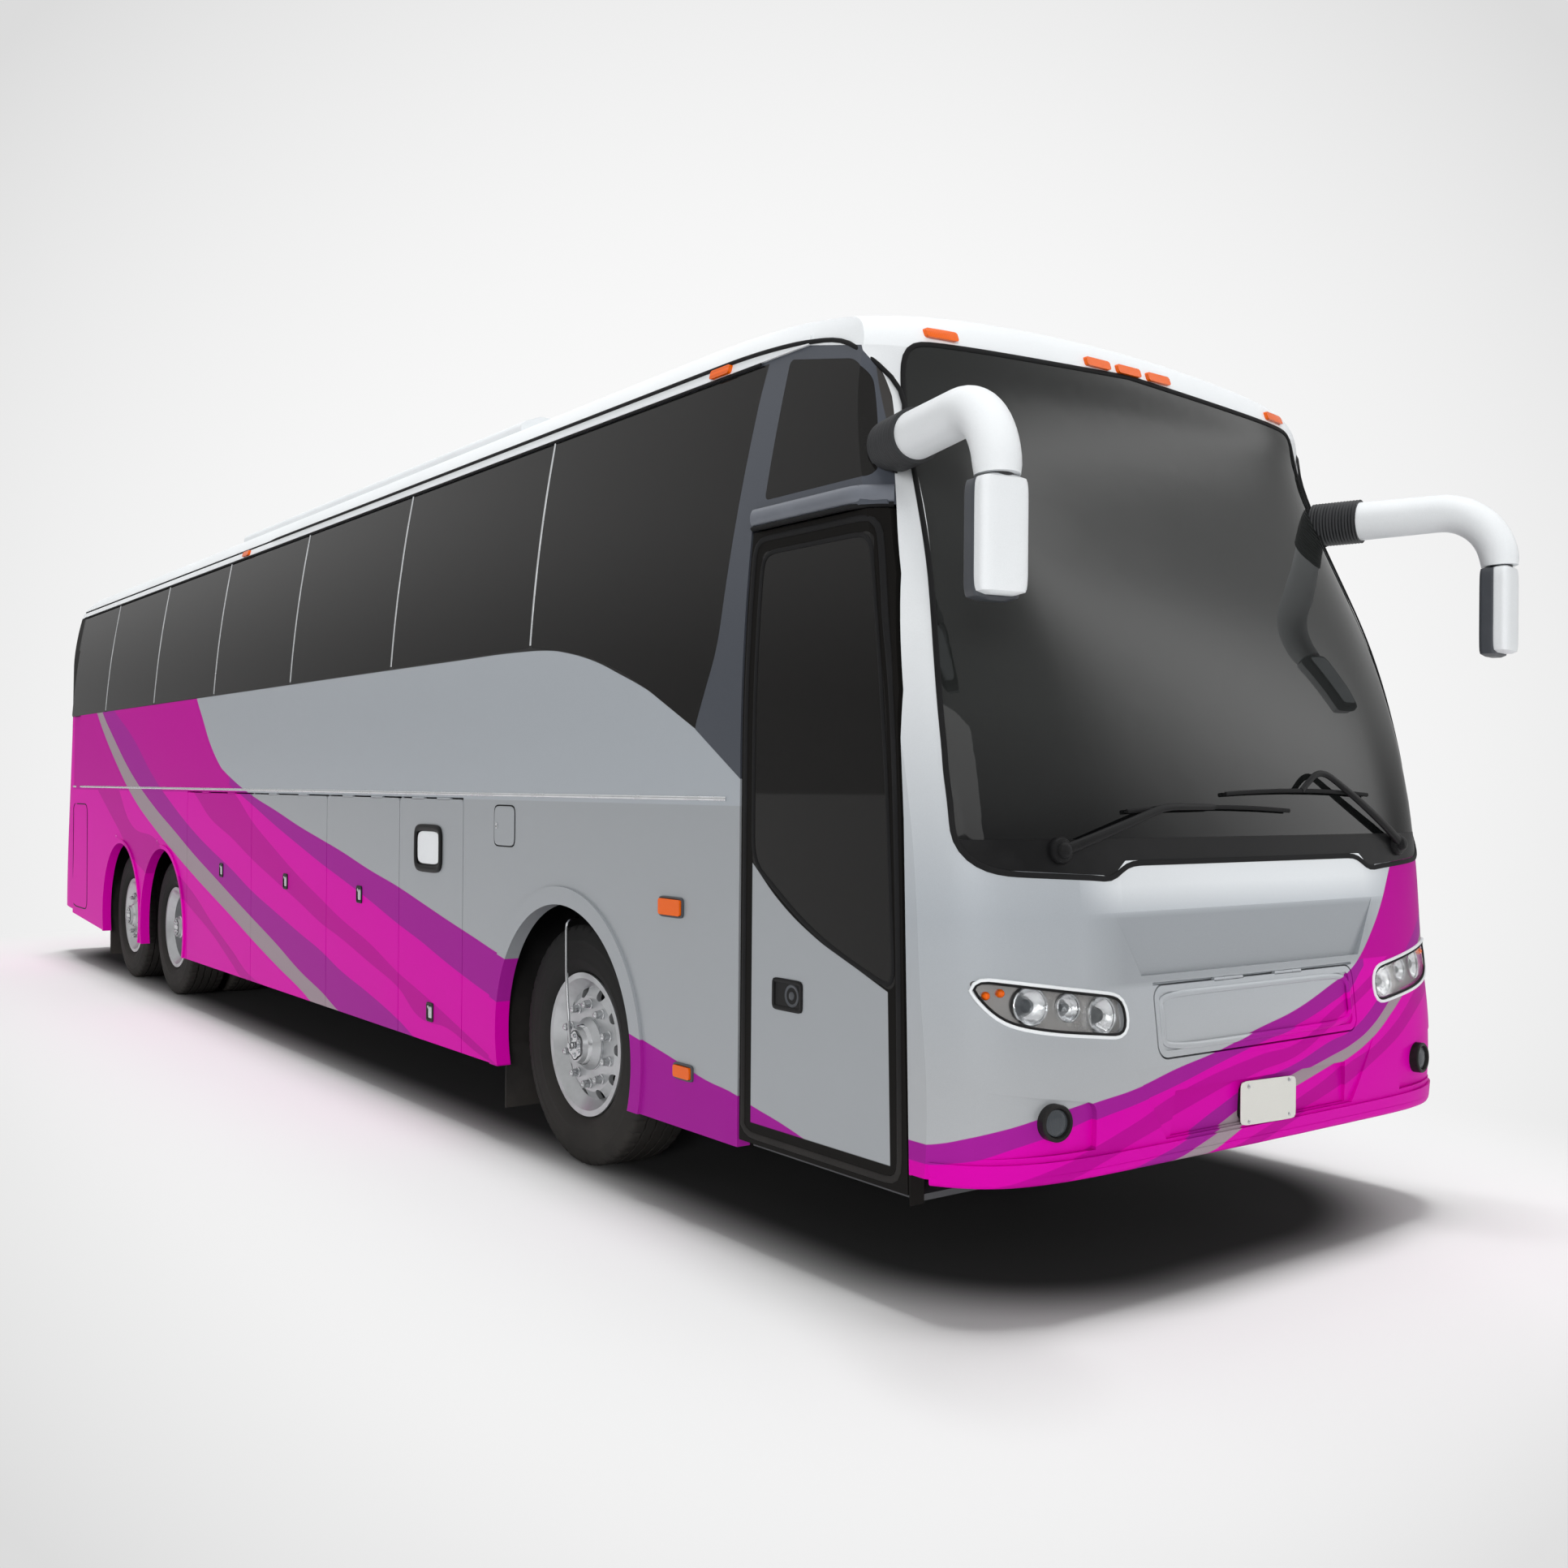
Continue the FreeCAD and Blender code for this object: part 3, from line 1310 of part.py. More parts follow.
def main():
    shell = make_shell()
    front = front_region()
    roof = roof_region()
    right, right_bays, right_panes = make_wall(shell, -1, front, roof)
    left, left_bays, left_panes = make_wall(shell, 1, front, roof)
    cap, bumper, lid = make_front(shell, front, roof)
    rear, hatch, back_pane, tail_lamps = make_rear(shell, roof)
    screen, cowl = make_screen()
    lamps, lenses = make_headlamps()
    door, door_glass = make_door(shell)
    pieces = {
        "side_wall_right": right, "side_wall_left": left, "roof": make_roof(shell, roof),
        "roof_fairing": make_fairing(), "front_panel": cap, "front_bumper": bumper, "front_lid": lid,
        "rear_panel": rear, "engine_hatch": hatch, "windscreen": screen, "cowl": cowl,
        "wipers": make_wipers(), "side_glass": group(right_panes + left_panes + [back_pane]),
        "headlamps": lamps, "headlamp_lenses": lenses, "marker_lamps": make_markers(),
        "tail_lamps": tail_lamps, "mirrors": group(both_sides([make_mirror()])),
        "underframe": make_frame(), "air_springs": make_springs(), "axles": make_axles(),
        "wheel_housings": make_housings(), "mud_flaps": make_flaps(), "floor_deck": make_deck(),
        "entrance_steps": make_steps(), "luggage_bays": make_bays(), "engine": make_engine(),
        "seats": make_seats(), "dashboard": make_dash(), "steering_wheel": make_steering_wheel(),
        "entrance_door": door, "door_glass": door_glass, "door_arm": make_arm(), "tie_rod": make_tie_rod(),
    }
    for i, bay in enumerate(right_bays):
        pieces["bay_door_right_%d" % (i + 1)] = bay
    for i, bay in enumerate(left_bays):
        pieces["bay_door_left_%d" % (i + 1)] = bay
    knuckle = make_knuckle()
    pieces["knuckle_left"] = knuckle
    pieces["knuckle_right"] = mirrored(knuckle)
    for name, (tyre, rim) in (("front", make_single_wheel(0)), ("drive", make_dual_wheel(drive_x)),
                              ("tag", make_single_wheel(tag_x))):
        pieces[name + "_tyre_left"] = tyre
        pieces[name + "_tyre_right"] = mirrored(tyre)
        pieces[name + "_rim_left"] = rim
        pieces[name + "_rim_right"] = mirrored(rim)
    reach = mirror_turn[0] + elbow_radius
    centre = Vector(-(reach + tail_x) / 2, 0, 0)
    os.makedirs("parts", exist_ok=True)
    for name, shape in pieces.items():
        shape.translate(centre)
        shape.exportStep("parts/" + name + ".step")


if __name__ == "__main__":
    main()
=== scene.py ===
import json
import math
import bpy
import numpy as np
from mathutils import Matrix, Vector
from mathutils.bvhtree import BVHTree

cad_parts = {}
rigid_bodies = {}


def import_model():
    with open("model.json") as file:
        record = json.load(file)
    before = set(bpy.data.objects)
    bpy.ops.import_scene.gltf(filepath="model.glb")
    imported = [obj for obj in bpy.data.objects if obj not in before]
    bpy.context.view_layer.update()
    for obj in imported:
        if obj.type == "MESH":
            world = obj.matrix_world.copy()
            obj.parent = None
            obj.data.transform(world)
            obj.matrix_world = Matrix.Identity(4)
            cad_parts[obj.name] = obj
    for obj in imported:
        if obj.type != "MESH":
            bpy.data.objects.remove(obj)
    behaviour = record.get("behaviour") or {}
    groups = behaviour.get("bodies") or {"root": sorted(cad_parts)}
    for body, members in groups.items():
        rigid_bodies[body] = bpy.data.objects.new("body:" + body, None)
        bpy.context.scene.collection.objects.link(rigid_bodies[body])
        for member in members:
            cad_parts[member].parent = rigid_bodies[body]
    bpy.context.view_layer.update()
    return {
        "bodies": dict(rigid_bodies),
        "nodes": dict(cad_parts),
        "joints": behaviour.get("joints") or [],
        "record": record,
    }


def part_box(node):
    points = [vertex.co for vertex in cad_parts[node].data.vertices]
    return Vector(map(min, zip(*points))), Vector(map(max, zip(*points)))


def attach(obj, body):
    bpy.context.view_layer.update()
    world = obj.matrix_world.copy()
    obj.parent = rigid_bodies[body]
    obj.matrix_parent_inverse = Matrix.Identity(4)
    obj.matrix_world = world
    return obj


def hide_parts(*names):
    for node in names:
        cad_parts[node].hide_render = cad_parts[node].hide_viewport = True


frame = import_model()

nodes = frame["nodes"]
print("frame loaded:", len(nodes), "nodes")

# Places below are metres from the front axle, with z from the road; axleX moves them into the frame
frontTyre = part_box("front_tyre_right")
axleX = (frontTyre[0].x + frontTyre[1].x) / 2


def tone(red, green, blue):
    # sRGB bytes to the linear colour a shader takes
    part = np.array([red, green, blue]) / 255
    linear = np.where(part <= 0.04045, part / 12.92, ((part + 0.055) / 1.055) ** 2.4)
    return (*linear.tolist(), 1.0)


def dimmed(colour, factor, added=0.0):
    return (*(min(part * factor + added, 1.0) for part in colour[:3]), 1.0)


def nodeMath(operation, swapped=False):
    def act(self, other):
        return calc(operation, *((other, self) if swapped else (self, other)))
    return act


# What a socket of a node tree gives; arithmetic on it adds Math nodes
class Wire:
    def __init__(self, socket):
        self.socket = socket

    __add__, __radd__ = nodeMath("ADD"), nodeMath("ADD", True)
    __sub__, __rsub__ = nodeMath("SUBTRACT"), nodeMath("SUBTRACT", True)
    __truediv__, __rtruediv__ = nodeMath("DIVIDE"), nodeMath("DIVIDE", True)
    __mul__, __pow__ = nodeMath("MULTIPLY"), nodeMath("POWER")

    def __abs__(self):
        return calc("ABSOLUTE", self)


def treeOf(values):
    return next(value.socket.id_data for value in values if isinstance(value, Wire))


def feed(socket, value):
    if isinstance(value, Wire):
        socket.id_data.links.new(value.socket, socket)
    else:
        socket.default_value = value


# New node in the tree of its inputs, or in a given one; gives one of its outputs
def place(kind, inputs=None, output=0, tree=None, **settings):
    inputs = inputs or {}
    made = (tree or treeOf(inputs.values())).nodes.new(kind)
    for key, value in settings.items():
        setattr(made, key, value)
    for key, value in inputs.items():
        feed(made.inputs[key], value)
    return Wire(made.outputs[output])


def calc(operation, *values):
    return place("ShaderNodeMath", dict(enumerate(values)), operation=operation)


def clipped(value):
    value.socket.node.use_clamp = True
    return value


def linear(value, factor, added):
    return calc("MULTIPLY_ADD", value, factor, added) if isinstance(value, Wire) else value * factor + added


def vectorMath(operation, inputs, output=0):
    return place("ShaderNodeVectorMath", inputs, output, operation=operation)


def split(vector):
    node = place("ShaderNodeSeparateXYZ", {0: vector}).socket.node
    return [Wire(socket) for socket in node.outputs]


def blendTone(share, under, over):
    return place("ShaderNodeMix", {0: share, 6: under, 7: over}, 2, data_type="RGBA")


def blendValue(share, under, over):
    if not isinstance(share, Wire):
        return under + (over - under) * share
    return place("ShaderNodeMix", {0: share, 2: under, 3: over}, data_type="FLOAT")


# 1 where the value is above the edge, 0 below, over a narrow soft step
def above(value, edge, soft=0.0015):
    return clipped(linear(value - edge, 0.5 / soft, 0.5))


def below(value, edge, soft=0.0015):
    return 1.0 - above(value, edge, soft)


def between(value, low, high, soft=0.0015):
    return clipped(above(value, low, soft) - above(value, high, soft))


# Stretch a value between two levels to 0..1, or to a range of its own
def spread(value, low, high, least=0.0, most=1.0, kind="LINEAR"):
    return place("ShaderNodeMapRange", {"Value": value, "From Min": low, "From Max": high, "To Min": least,
                                        "To Max": most}, interpolation_type=kind)


edgeScale = 4.0


# Smooth line through points (place, height) for an edge of a stripe
def edgeLine(along, points, span):
    low, high = span
    made = place("ShaderNodeFloatCurve", {"Value": clipped((along - low) / (high - low))})
    mapping = made.socket.node.mapping
    curve = mapping.curves[0]
    scaled = sorted(((x - low) / (high - low), z / edgeScale) for x, z in points)
    curve.points[0].location = scaled[0]
    curve.points[1].location = scaled[-1]
    for spot in scaled[1:-1]:
        curve.points.new(*spot)
    mapping.update()
    return made * edgeScale


# Node group: gives its inputs by label, and a function that joins its outputs and returns it
def newGroup(name, inputs, outputs):
    tree = bpy.data.node_groups.new(name, "ShaderNodeTree")
    for direction, table in (("INPUT", inputs), ("OUTPUT", outputs)):
        for label, kind in table.items():
            tree.interface.new_socket(label, in_out=direction, socket_type="NodeSocket" + kind)
    given = tree.nodes.new("NodeGroupInput").outputs
    results = tree.nodes.new("NodeGroupOutput").inputs

    def close(**values):
        for label, value in values.items():
            feed(results[label], value)
        return tree
    return {label: Wire(given[label]) for label in inputs}, close


def useGroup(group, **inputs):
    made = treeOf(inputs.values()).nodes.new("ShaderNodeGroup")
    made.node_tree = group
    for label, value in inputs.items():
        feed(made.inputs[label], value)
    return [Wire(socket) for socket in made.outputs]


# Coordinates measured from the front axle
def surveyed(tree):
    coords = place("ShaderNodeTexCoord", output="Object", tree=tree)
    return place("ShaderNodeMapping", {"Vector": coords, "Location": (-axleX, 0, 0)})


def emptyTree(owner, outputKind):
    owner.use_nodes = True
    owner.node_tree.nodes.clear()
    return owner.node_tree, owner.node_tree.nodes.new(outputKind).inputs[0]


def newMaterial(name):
    material = bpy.data.materials.new(name)
    tree, surface = emptyTree(material, "ShaderNodeOutputMaterial")
    shader = tree.nodes.new("ShaderNodeBsdfPrincipled")
    tree.links.new(shader.outputs[0], surface)
    where = surveyed(tree)
    return material, shader, where, split(where)


def finish(shader, **inputs):
    names = {"colour": "Base Color", "roughness": "Roughness", "metallic": "Metallic", "coat": "Coat Weight",
             "coatRoughness": "Coat Roughness", "specular": "Specular IOR Level", "normal": "Normal",
             "through": "Transmission Weight", "ior": "IOR", "alpha": "Alpha"}
    for key, value in inputs.items():
        feed(shader.inputs[names[key]], value)


def noise(where, scale, detail=2.0, rough=0.5):
    return place("ShaderNodeTexNoise", {"Vector": where, "Scale": scale, "Detail": detail, "Roughness": rough})


def bump(height, strength, distance):
    return place("ShaderNodeBump", {"Height": height, "Strength": strength, "Distance": distance})


def makeGrime():
    # Dust that thickens towards the road, broken up by soft noise
    given, close = newGroup("roadGrime", {"Place": "Vector", "Amount": "Float", "Height": "Float"},
                            {"Mask": "Float"})
    fall = clipped(1.0 - split(given["Place"])[2] / given["Height"])
    patch = spread(noise(given["Place"], 2.3, 6.0, 0.62), 0.3, 0.75)
    return close(Mask=clipped(fall ** 1.5 * linear(patch, 0.7, 0.3) * given["Amount"]))


def makeOrange():
    # Fine waviness of sprayed paint as a height, and its flake as a brightness change
    given, close = newGroup("sprayedSkin", {"Place": "Vector", "Flake": "Float"},
                            {"Height": "Float", "Sparkle": "Float"})
    fine = noise(given["Place"], 900.0, 1.0)
    return close(Height=linear(fine, 0.15, noise(given["Place"], 55.0)), Sparkle=(fine - 0.5) * given["Flake"])


def makeGrain():
    # Pebbled grain of moulded plastic and rubber as a height and a mask
    given, close = newGroup("mouldedGrain", {"Place": "Vector", "Scale": "Float"},
                            {"Height": "Float", "Wear": "Float"})
    cells = place("ShaderNodeTexVoronoi", {"Vector": given["Place"], "Scale": given["Scale"]}, "Distance")
    return close(Height=cells, Wear=spread(noise(given["Place"], 6.0, 5.0, 0.6), 0.45, 0.75))


grime = makeGrime()
orange = makeOrange()
grain = makeGrain()
print("shared effects built")

# Colours of the livery, with a painted shade tone for the nose and a painted dark reflection tone for the glass
livery = {
    "silver": tone(172, 178, 184), "lowSilver": tone(161, 165, 169), "noseSilver": tone(174, 177, 180),
    "bright": tone(206, 0, 163), "deep": tone(180, 0, 144), "purple": tone(154, 28, 143),
    "stone": tone(153, 138, 146), "shade": tone(120, 124, 128), "white": tone(226, 229, 231),
    "black": tone(22, 21, 20), "pillar": tone(74, 78, 86), "lining": tone(58, 56, 55), "foot": tone(16, 17, 18),
}
roadDust = tone(112, 106, 100)
sideSpan = (-10.1, 2.5)
# Edges of the stripes in the side view, from the back window line to the front wheel
sideEdges = {
    "veil": ((-10.1, 2.6), (-5.6, 2.33), (-5.453, 2.189), (-5.267, 2.035), (-5.046, 1.845), (-4.757, 1.671),
             (-4.6, 1.608), (-4.4, 1.53), (-3.9, 1.35), (-3.0, 1.05), (-1.0, 0.5), (2.5, 0.3)),
    "crest": ((-10.1, 2.9), (-6.0, 2.1), (-4.577, 1.622), (-4.148, 1.515), (-3.672, 1.424), (-3.232, 1.336),
              (-2.89, 1.276), (-2.569, 1.22), (-2.15, 1.137), (-1.764, 1.07), (-1.456, 1.007), (-1.167, 0.947),
              (-0.852, 0.885), (-0.64, 0.842), (0.627, 0.622), (0.86, 0.58), (1.076, 0.536), (1.231, 0.52),
              (1.378, 0.49), (1.519, 0.466), (1.7, 0.425), (2.5, 0.2)),
    "crestLow": ((-10.1, 2.7), (-6.0, 2.0), (-4.6, 1.575), (-4.146, 1.457), (-3.669, 1.33), (-3.229, 1.222),
                 (-2.887, 1.14), (-2.566, 1.07), (-2.147, 0.976), (-1.76, 0.881), (-1.452, 0.813),
                 (-1.163, 0.741), (-0.847, 0.671), (-0.635, 0.628), (0.0, 0.49), (1.2, 0.3), (2.5, 0.1)),
    "shadeTop": ((-10.1, 2.9), (-5.2, 1.75), (-4.45, 1.5), (-4.143, 1.354), (-3.665, 1.181), (-3.224, 1.036),
                 (-2.882, 0.938), (-2.56, 0.847), (-2.141, 0.749), (-1.754, 0.634), (-1.446, 0.561),
                 (-1.157, 0.489), (-0.842, 0.406), (-0.63, 0.351), (0.5, 0.1), (2.5, 0.0)),
    "shadeLow": ((-10.1, 2.9), (-6.0, 1.72), (-5.42, 1.512), (-5.025, 1.345), (-4.565, 1.232), (-4.136, 1.111),
                 (-3.66, 0.993), (-3.22, 0.888), (-2.878, 0.8), (-2.557, 0.739), (-2.139, 0.646),
                 (-1.753, 0.559), (-1.443, 0.434), (-1.156, 0.43), (-0.841, 0.365), (-0.63, 0.33), (2.5, 0.0)),
    "plumTop": ((-10.1, 3.6), (-8.3, 2.36), (-7.9, 2.2), (-7.2, 1.952), (-6.52, 1.629), (-5.939, 1.409),
                (-5.411, 1.24), (-5.018, 1.135), (-4.559, 1.025), (-4.13, 0.908), (-3.654, 0.803),
                (-3.215, 0.71), (-2.874, 0.642), (-2.552, 0.56), (-2.134, 0.48), (-1.749, 0.395), (-1.4, 0.3),
                (2.5, 0.0)),
    "stoneTop": ((-10.1, 3.4), (-8.3, 2.2), (-7.829, 1.96), (-7.126, 1.629), (-6.504, 1.406), (-5.933, 1.237),
                 (-5.406, 1.08), (-5.013, 0.974), (-4.553, 0.85), (-4.125, 0.738), (-3.649, 0.614),
                 (-3.209, 0.489), (-2.868, 0.413), (-2.5, 0.32), (2.5, 0.0)),
    "stoneLow": ((-10.1, 3.2), (-8.5, 2.2), (-7.804, 1.8), (-7.119, 1.461), (-6.498, 1.246), (-5.928, 1.077),
                 (-5.401, 0.932), (-5.008, 0.831), (-4.549, 0.715), (-4.121, 0.602), (-3.645, 0.484),
                 (-3.206, 0.385), (-2.8, 0.28), (2.5, 0.0)),
    "dimTop": ((-10.1, 2.6), (-8.5, 1.9), (-7.7, 1.58), (-7.11, 1.23), (-6.496, 1.17), (-5.924, 0.958),
               (-5.397, 0.801), (-5.002, 0.648), (-4.542, 0.497), (-4.1, 0.36), (2.5, 0.0)),
    "dimLow": ((-10.1, 2.2), (-9.0, 1.8), (-8.3, 1.5), (-7.6, 1.2), (-7.0, 0.95), (-6.4, 0.85), (-5.9, 0.8),
               (-5.393, 0.676), (-5.0, 0.571), (-4.539, 0.411), (-4.3, 0.33), (2.5, 0.0)),
    "belt": ((-10.1, 2.19), (-5.0, 2.185), (-1.136, 2.181), (-0.458, 2.178), (-0.151, 2.164), (-0.037, 2.149),
             (0.203, 2.101), (0.445, 2.027), (0.582, 1.982), (0.758, 1.914), (0.98, 1.804), (1.289, 1.617),
             (1.32, 1.55), (2.5, 1.0)),
}
trimHeight = 1.525


# Each stripe is the band between its Low and Top edges, laid over the ones before it
def layBands(colour, z, line, bands):
    for low, top, name, share in bands:
        mask = between(z, line[low], line[top])
        colour = blendTone(mask if share is None else mask * share, colour, livery[name])
    return colour


def makeSideLivery():
    given, close = newGroup("sideLivery", {"Place": "Vector"}, {"Colour": "Color", "Film": "Float"})
    x, y, z = split(given["Place"])
    line = {name: edgeLine(x, points, sideSpan) for name, points in sideEdges.items() if name != "belt"}
    low = below(z, trimHeight)
    under = below(z, line["crest"])
    field = calc("MAXIMUM", below(z, line["veil"]) * below(x, -4.1), under)
    colour = blendTone(low, livery["silver"], livery["lowSilver"])
    colour = blendTone(field, colour, blendTone(low, livery["deep"], livery["bright"]))
    colour = layBands(colour, z, line, [("crestLow", "crest", "purple", above(x, -4.62))])
    colour = blendTone(above(x, 0.4) * under, colour, livery["purple"])
    colour = layBands(colour, z, line, [("shadeLow", "shadeTop", "deep", low), ("dimLow", "dimTop", "deep", low),
                                        ("stoneTop", "plumTop", "purple", None),
                                        ("stoneLow", "stoneTop", "stone", None)])
    return close(Colour=colour, Film=field)


frontSpan = (-1.4, 1.4)
# Edges of the stripes across the nose: (y, z), rising towards the coach's left
frontEdges = {
    "swoop": ((-1.4, 0.52), (-1.3, 0.534), (-1.214, 0.566), (-1.111, 0.592), (-0.97, 0.622), (-0.827, 0.644),
              (-0.647, 0.668), (-0.457, 0.71), (-0.255, 0.745), (-0.035, 0.795), (0.197, 0.843), (0.395, 0.905),
              (0.53, 0.955), (0.6, 1.0), (0.69, 1.09), (0.76, 1.18), (0.82, 1.28), (0.88, 1.38), (1.1, 1.8),
              (1.4, 2.3)),
    "swoopLow": ((-1.4, 0.46), (-1.3, 0.475), (-1.214, 0.494), (-1.11, 0.527), (-0.98, 0.556), (-0.827, 0.59),
                 (-0.65, 0.619), (-0.46, 0.656), (-0.257, 0.703), (-0.04, 0.748), (0.19, 0.79), (0.395, 0.845),
                 (0.53, 0.895), (0.6, 0.95), (0.8, 1.1), (1.4, 1.5)),
    "slashTop": ((-1.4, 0.36), (-1.1, 0.43), (-0.65, 0.563), (-0.46, 0.628), (-0.04, 0.71), (0.18, 0.732),
                 (0.39, 0.816), (0.6, 0.9), (0.8, 1.0), (1.4, 1.35)),
    "slashLow": ((-1.4, 0.3), (-1.1, 0.37), (-0.65, 0.502), (-0.46, 0.553), (-0.04, 0.655), (0.18, 0.69),
                 (0.39, 0.775), (0.6, 0.86), (0.8, 0.95), (1.4, 1.25)),
    "plumTop": ((-1.4, 0.2), (-0.64, 0.425), (-0.45, 0.47), (-0.257, 0.545), (-0.04, 0.62), (0.18, 0.665),
                (0.374, 0.72), (0.5, 0.745), (0.64, 0.81), (0.8, 0.92), (1.0, 1.05), (1.4, 1.3)),
    "stoneTop": ((-1.4, 0.15), (-0.64, 0.38), (-0.45, 0.425), (-0.257, 0.485), (-0.04, 0.565), (0.18, 0.622),
                 (0.37, 0.665), (0.5, 0.695), (0.63, 0.745), (0.8, 0.85), (1.0, 0.98), (1.4, 1.2)),
    "stoneLow": ((-1.4, 0.1), (-0.64, 0.34), (-0.45, 0.385), (-0.257, 0.435), (-0.04, 0.52), (0.18, 0.575),
                 (0.37, 0.622), (0.5, 0.655), (0.63, 0.705), (0.8, 0.8), (1.0, 0.92), (1.4, 1.1)),
    "slantTop": ((-1.4, 0.1), (-0.5, 0.34), (0.0, 0.47), (0.18, 0.525), (0.371, 0.585), (0.495, 0.633),
                 (0.624, 0.67), (0.8, 0.75), (1.0, 0.86), (1.4, 1.0)),
    "slantLow": ((-1.4, 0.05), (-0.5, 0.3), (0.0, 0.43), (0.18, 0.481), (0.374, 0.529), (0.496, 0.565),
                 (0.624, 0.617), (0.8, 0.69), (1.0, 0.79), (1.4, 0.92)),
}


def makeFrontLivery():
    given, close = newGroup("frontLivery", {"Place": "Vector"}, {"Colour": "Color", "Film": "Float"})
    x, y, z = split(given["Place"])
    line = {name: edgeLine(y, points, frontSpan) for name, points in frontEdges.items()}
    field = below(z, line["swoop"])
    colour = blendTone(field, livery["silver"], livery["bright"])
    colour = layBands(colour, z, line, [("swoopLow", "swoop", "purple", below(y, 0.62))])
    colour = blendTone(above(z, 0.99) * field, colour, livery["deep"])
    colour = layBands(colour, z, line, [("slashLow", "slashTop", "deep", None),
                                        ("slantLow", "slantTop", "deep", None),
                                        ("stoneTop", "plumTop", "purple", None),
                                        ("stoneLow", "stoneTop", "stone", None)])
    return close(Colour=colour, Film=field)


sideLivery = makeSideLivery()
frontLivery = makeFrontLivery()
print("livery built")


# Paint over a livery: metallic silver base, plain film where the stripes are, clear coat over both
def paintFinish(shader, where, colour, film, dust=0.12, form=None):
    height, sparkle = useGroup(orange, Place=where, Flake=0.3)
    lit = vectorMath("SCALE", {0: colour, "Scale": 1.0 + sparkle})
    mask = useGroup(grime, Place=where, Amount=dust, Height=1.1)[0] * linear(film, -0.7, 1.0)
    normal = bump(height, 0.03, 0.002)
    if form is not None:
        feed(normal.socket.node.inputs["Normal"], bump(form, 1.0, 1.0))
    finish(shader, colour=blendTone(mask, lit, roadDust), metallic=(1.0 - film) * 0.35,
           roughness=blendValue(mask, blendValue(film, 0.36, 0.42), 0.7), specular=blendValue(film, 0.25, 0.03),
           coat=blendValue(film, 0.16, 0.02), coatRoughness=0.07, normal=normal)


# Rear edge of the pillar behind the door, leaning forward and bent towards the belt
def pillarLine(z):
    up = z - 1.8
    return linear(calc("MAXIMUM", up, 0.0), 0.2, 0.985) + calc("MINIMUM", up, 0.0) * -1.6


def makeWallPaint():
    material, shader, where, (x, y, z) = newMaterial("wallPaint")
    colour, film = useGroup(sideLivery, Place=where)
    belt = edgeLine(x, sideEdges["belt"], sideSpan)
    colour = blendTone(above(z, belt) * above(x, -9.62), colour, livery["black"])
    colour = blendTone(above(z, 1.56) * above(x, pillarLine(z)), colour, livery["pillar"])
    colour = blendTone(above(z, 3.1), colour, livery["pillar"])
    colour = blendTone(below(abs(y), 1.145), colour, livery["lining"])
    paintFinish(shader, where, colour, film)
    return material


leafTop = ((1.3, 1.37), (1.353, 1.33), (1.5, 1.215), (1.7, 1.105), (1.9, 1.03), (2.145, 0.939), (2.2, 0.92))
leafSpan = (1.3, 2.2)


def makeDoorPaint():
    # Silver leaf under a falling curve, black frame and pane surround; the stripes cross the leaf
    material, shader, where, (x, y, z) = newMaterial("doorPaint")
    colour, film = useGroup(sideLivery, Place=where)
    leaf = below(z, edgeLine(x, leafTop, leafSpan)) * above(x, 1.353) * above(z, 0.437)
    leaf = leaf * below(linear(z, 0.034, x), 2.105) * below(y, -1.18)
    paintFinish(shader, where, blendTone(leaf, livery["black"], colour), calc("MAXIMUM", film, 1.0 - leaf))
    return material


# The brow over the crease leans back and the panel under it leans forward; a height tilts the brow's shading, a
# painted highlight lightens the brow and a band of painted shade darkens the panel under it
brow = {"crease": 1.21, "slope": -0.24, "half": (0.66, 0.84), "paintedSheen": (1.2, 1.29), "under": (0.98, 1.2)}


def makeNosePaint():
    material, shader, where, (x, y, z) = newMaterial("nosePaint")
    colour, film = useGroup(frontLivery, Place=where)
    plain = 1.0 - film
    middle = 1.0 - spread(abs(y), *brow["half"])
    colour = blendTone(plain * below(z, 1.0, 0.3), colour, livery["noseSilver"])
    colour = blendTone(plain * spread(z, 1.2, 2.1), colour, livery["white"])
    # Painted highlight: the middle of the brow is lightened towards white, as if it caught the sky
    colour = blendTone(plain * middle * spread(z, *brow["paintedSheen"]) * 0.6, colour, livery["white"])
    # Painted shade: a band under the crease is darkened with the shade tone
    colour = blendTone(plain * middle * between(z, *brow["under"], 0.01) * 0.4, colour, livery["shade"])
    # Painted shade: the end of the bumper's lowest edge beside the door is painted black
    colour = blendTone(1.0 - calc("MAXIMUM", above(z, 0.4285), above(x, 2.2)), colour, livery["black"])
    rise = calc("MAXIMUM", z - brow["crease"], 0.0)
    paintFinish(shader, where, colour, film, form=rise * middle * brow["slope"])
    return material


def makeRearPaint():
    # Deep magenta, dark round the corner above the belt as if glazed
    material, shader, where, (x, y, z) = newMaterial("rearPaint")
    dark = above(z, 2.19) * above(abs(y), 0.95)
    paintFinish(shader, where, blendTone(dark, livery["bright"], livery["black"]), 1.0)
    return material


def makePlainPaint(name, colour, film):
    material, shader, where, parts = newMaterial(name)
    worn = blendTone(spread(noise(where, 1.4, 4.0), 0.35, 0.8), colour, dimmed(colour, 0.94))
    paintFinish(shader, where, worn, film, 0.15)
    return material


def makeGlass(name, colour, through, specular, foot=(0.0, 0.1), alpha=1.0):
    # Painted reflection: over the given span of heights a pane clears from a near-black lower edge, standing in
    # for dark ground reflected in the glass
    material, shader, where, (x, y, z) = newMaterial(name)
    haze = useGroup(grime, Place=where, Amount=0.25, Height=3.6)[0]
    tint = blendTone(spread(z, *foot), livery["foot"], blendTone(haze, colour, dimmed(colour, 1.6)))
    finish(shader, colour=tint, roughness=blendValue(haze, 0.02, 0.05), through=through, specular=specular,
           ior=1.45, alpha=alpha)
    return material


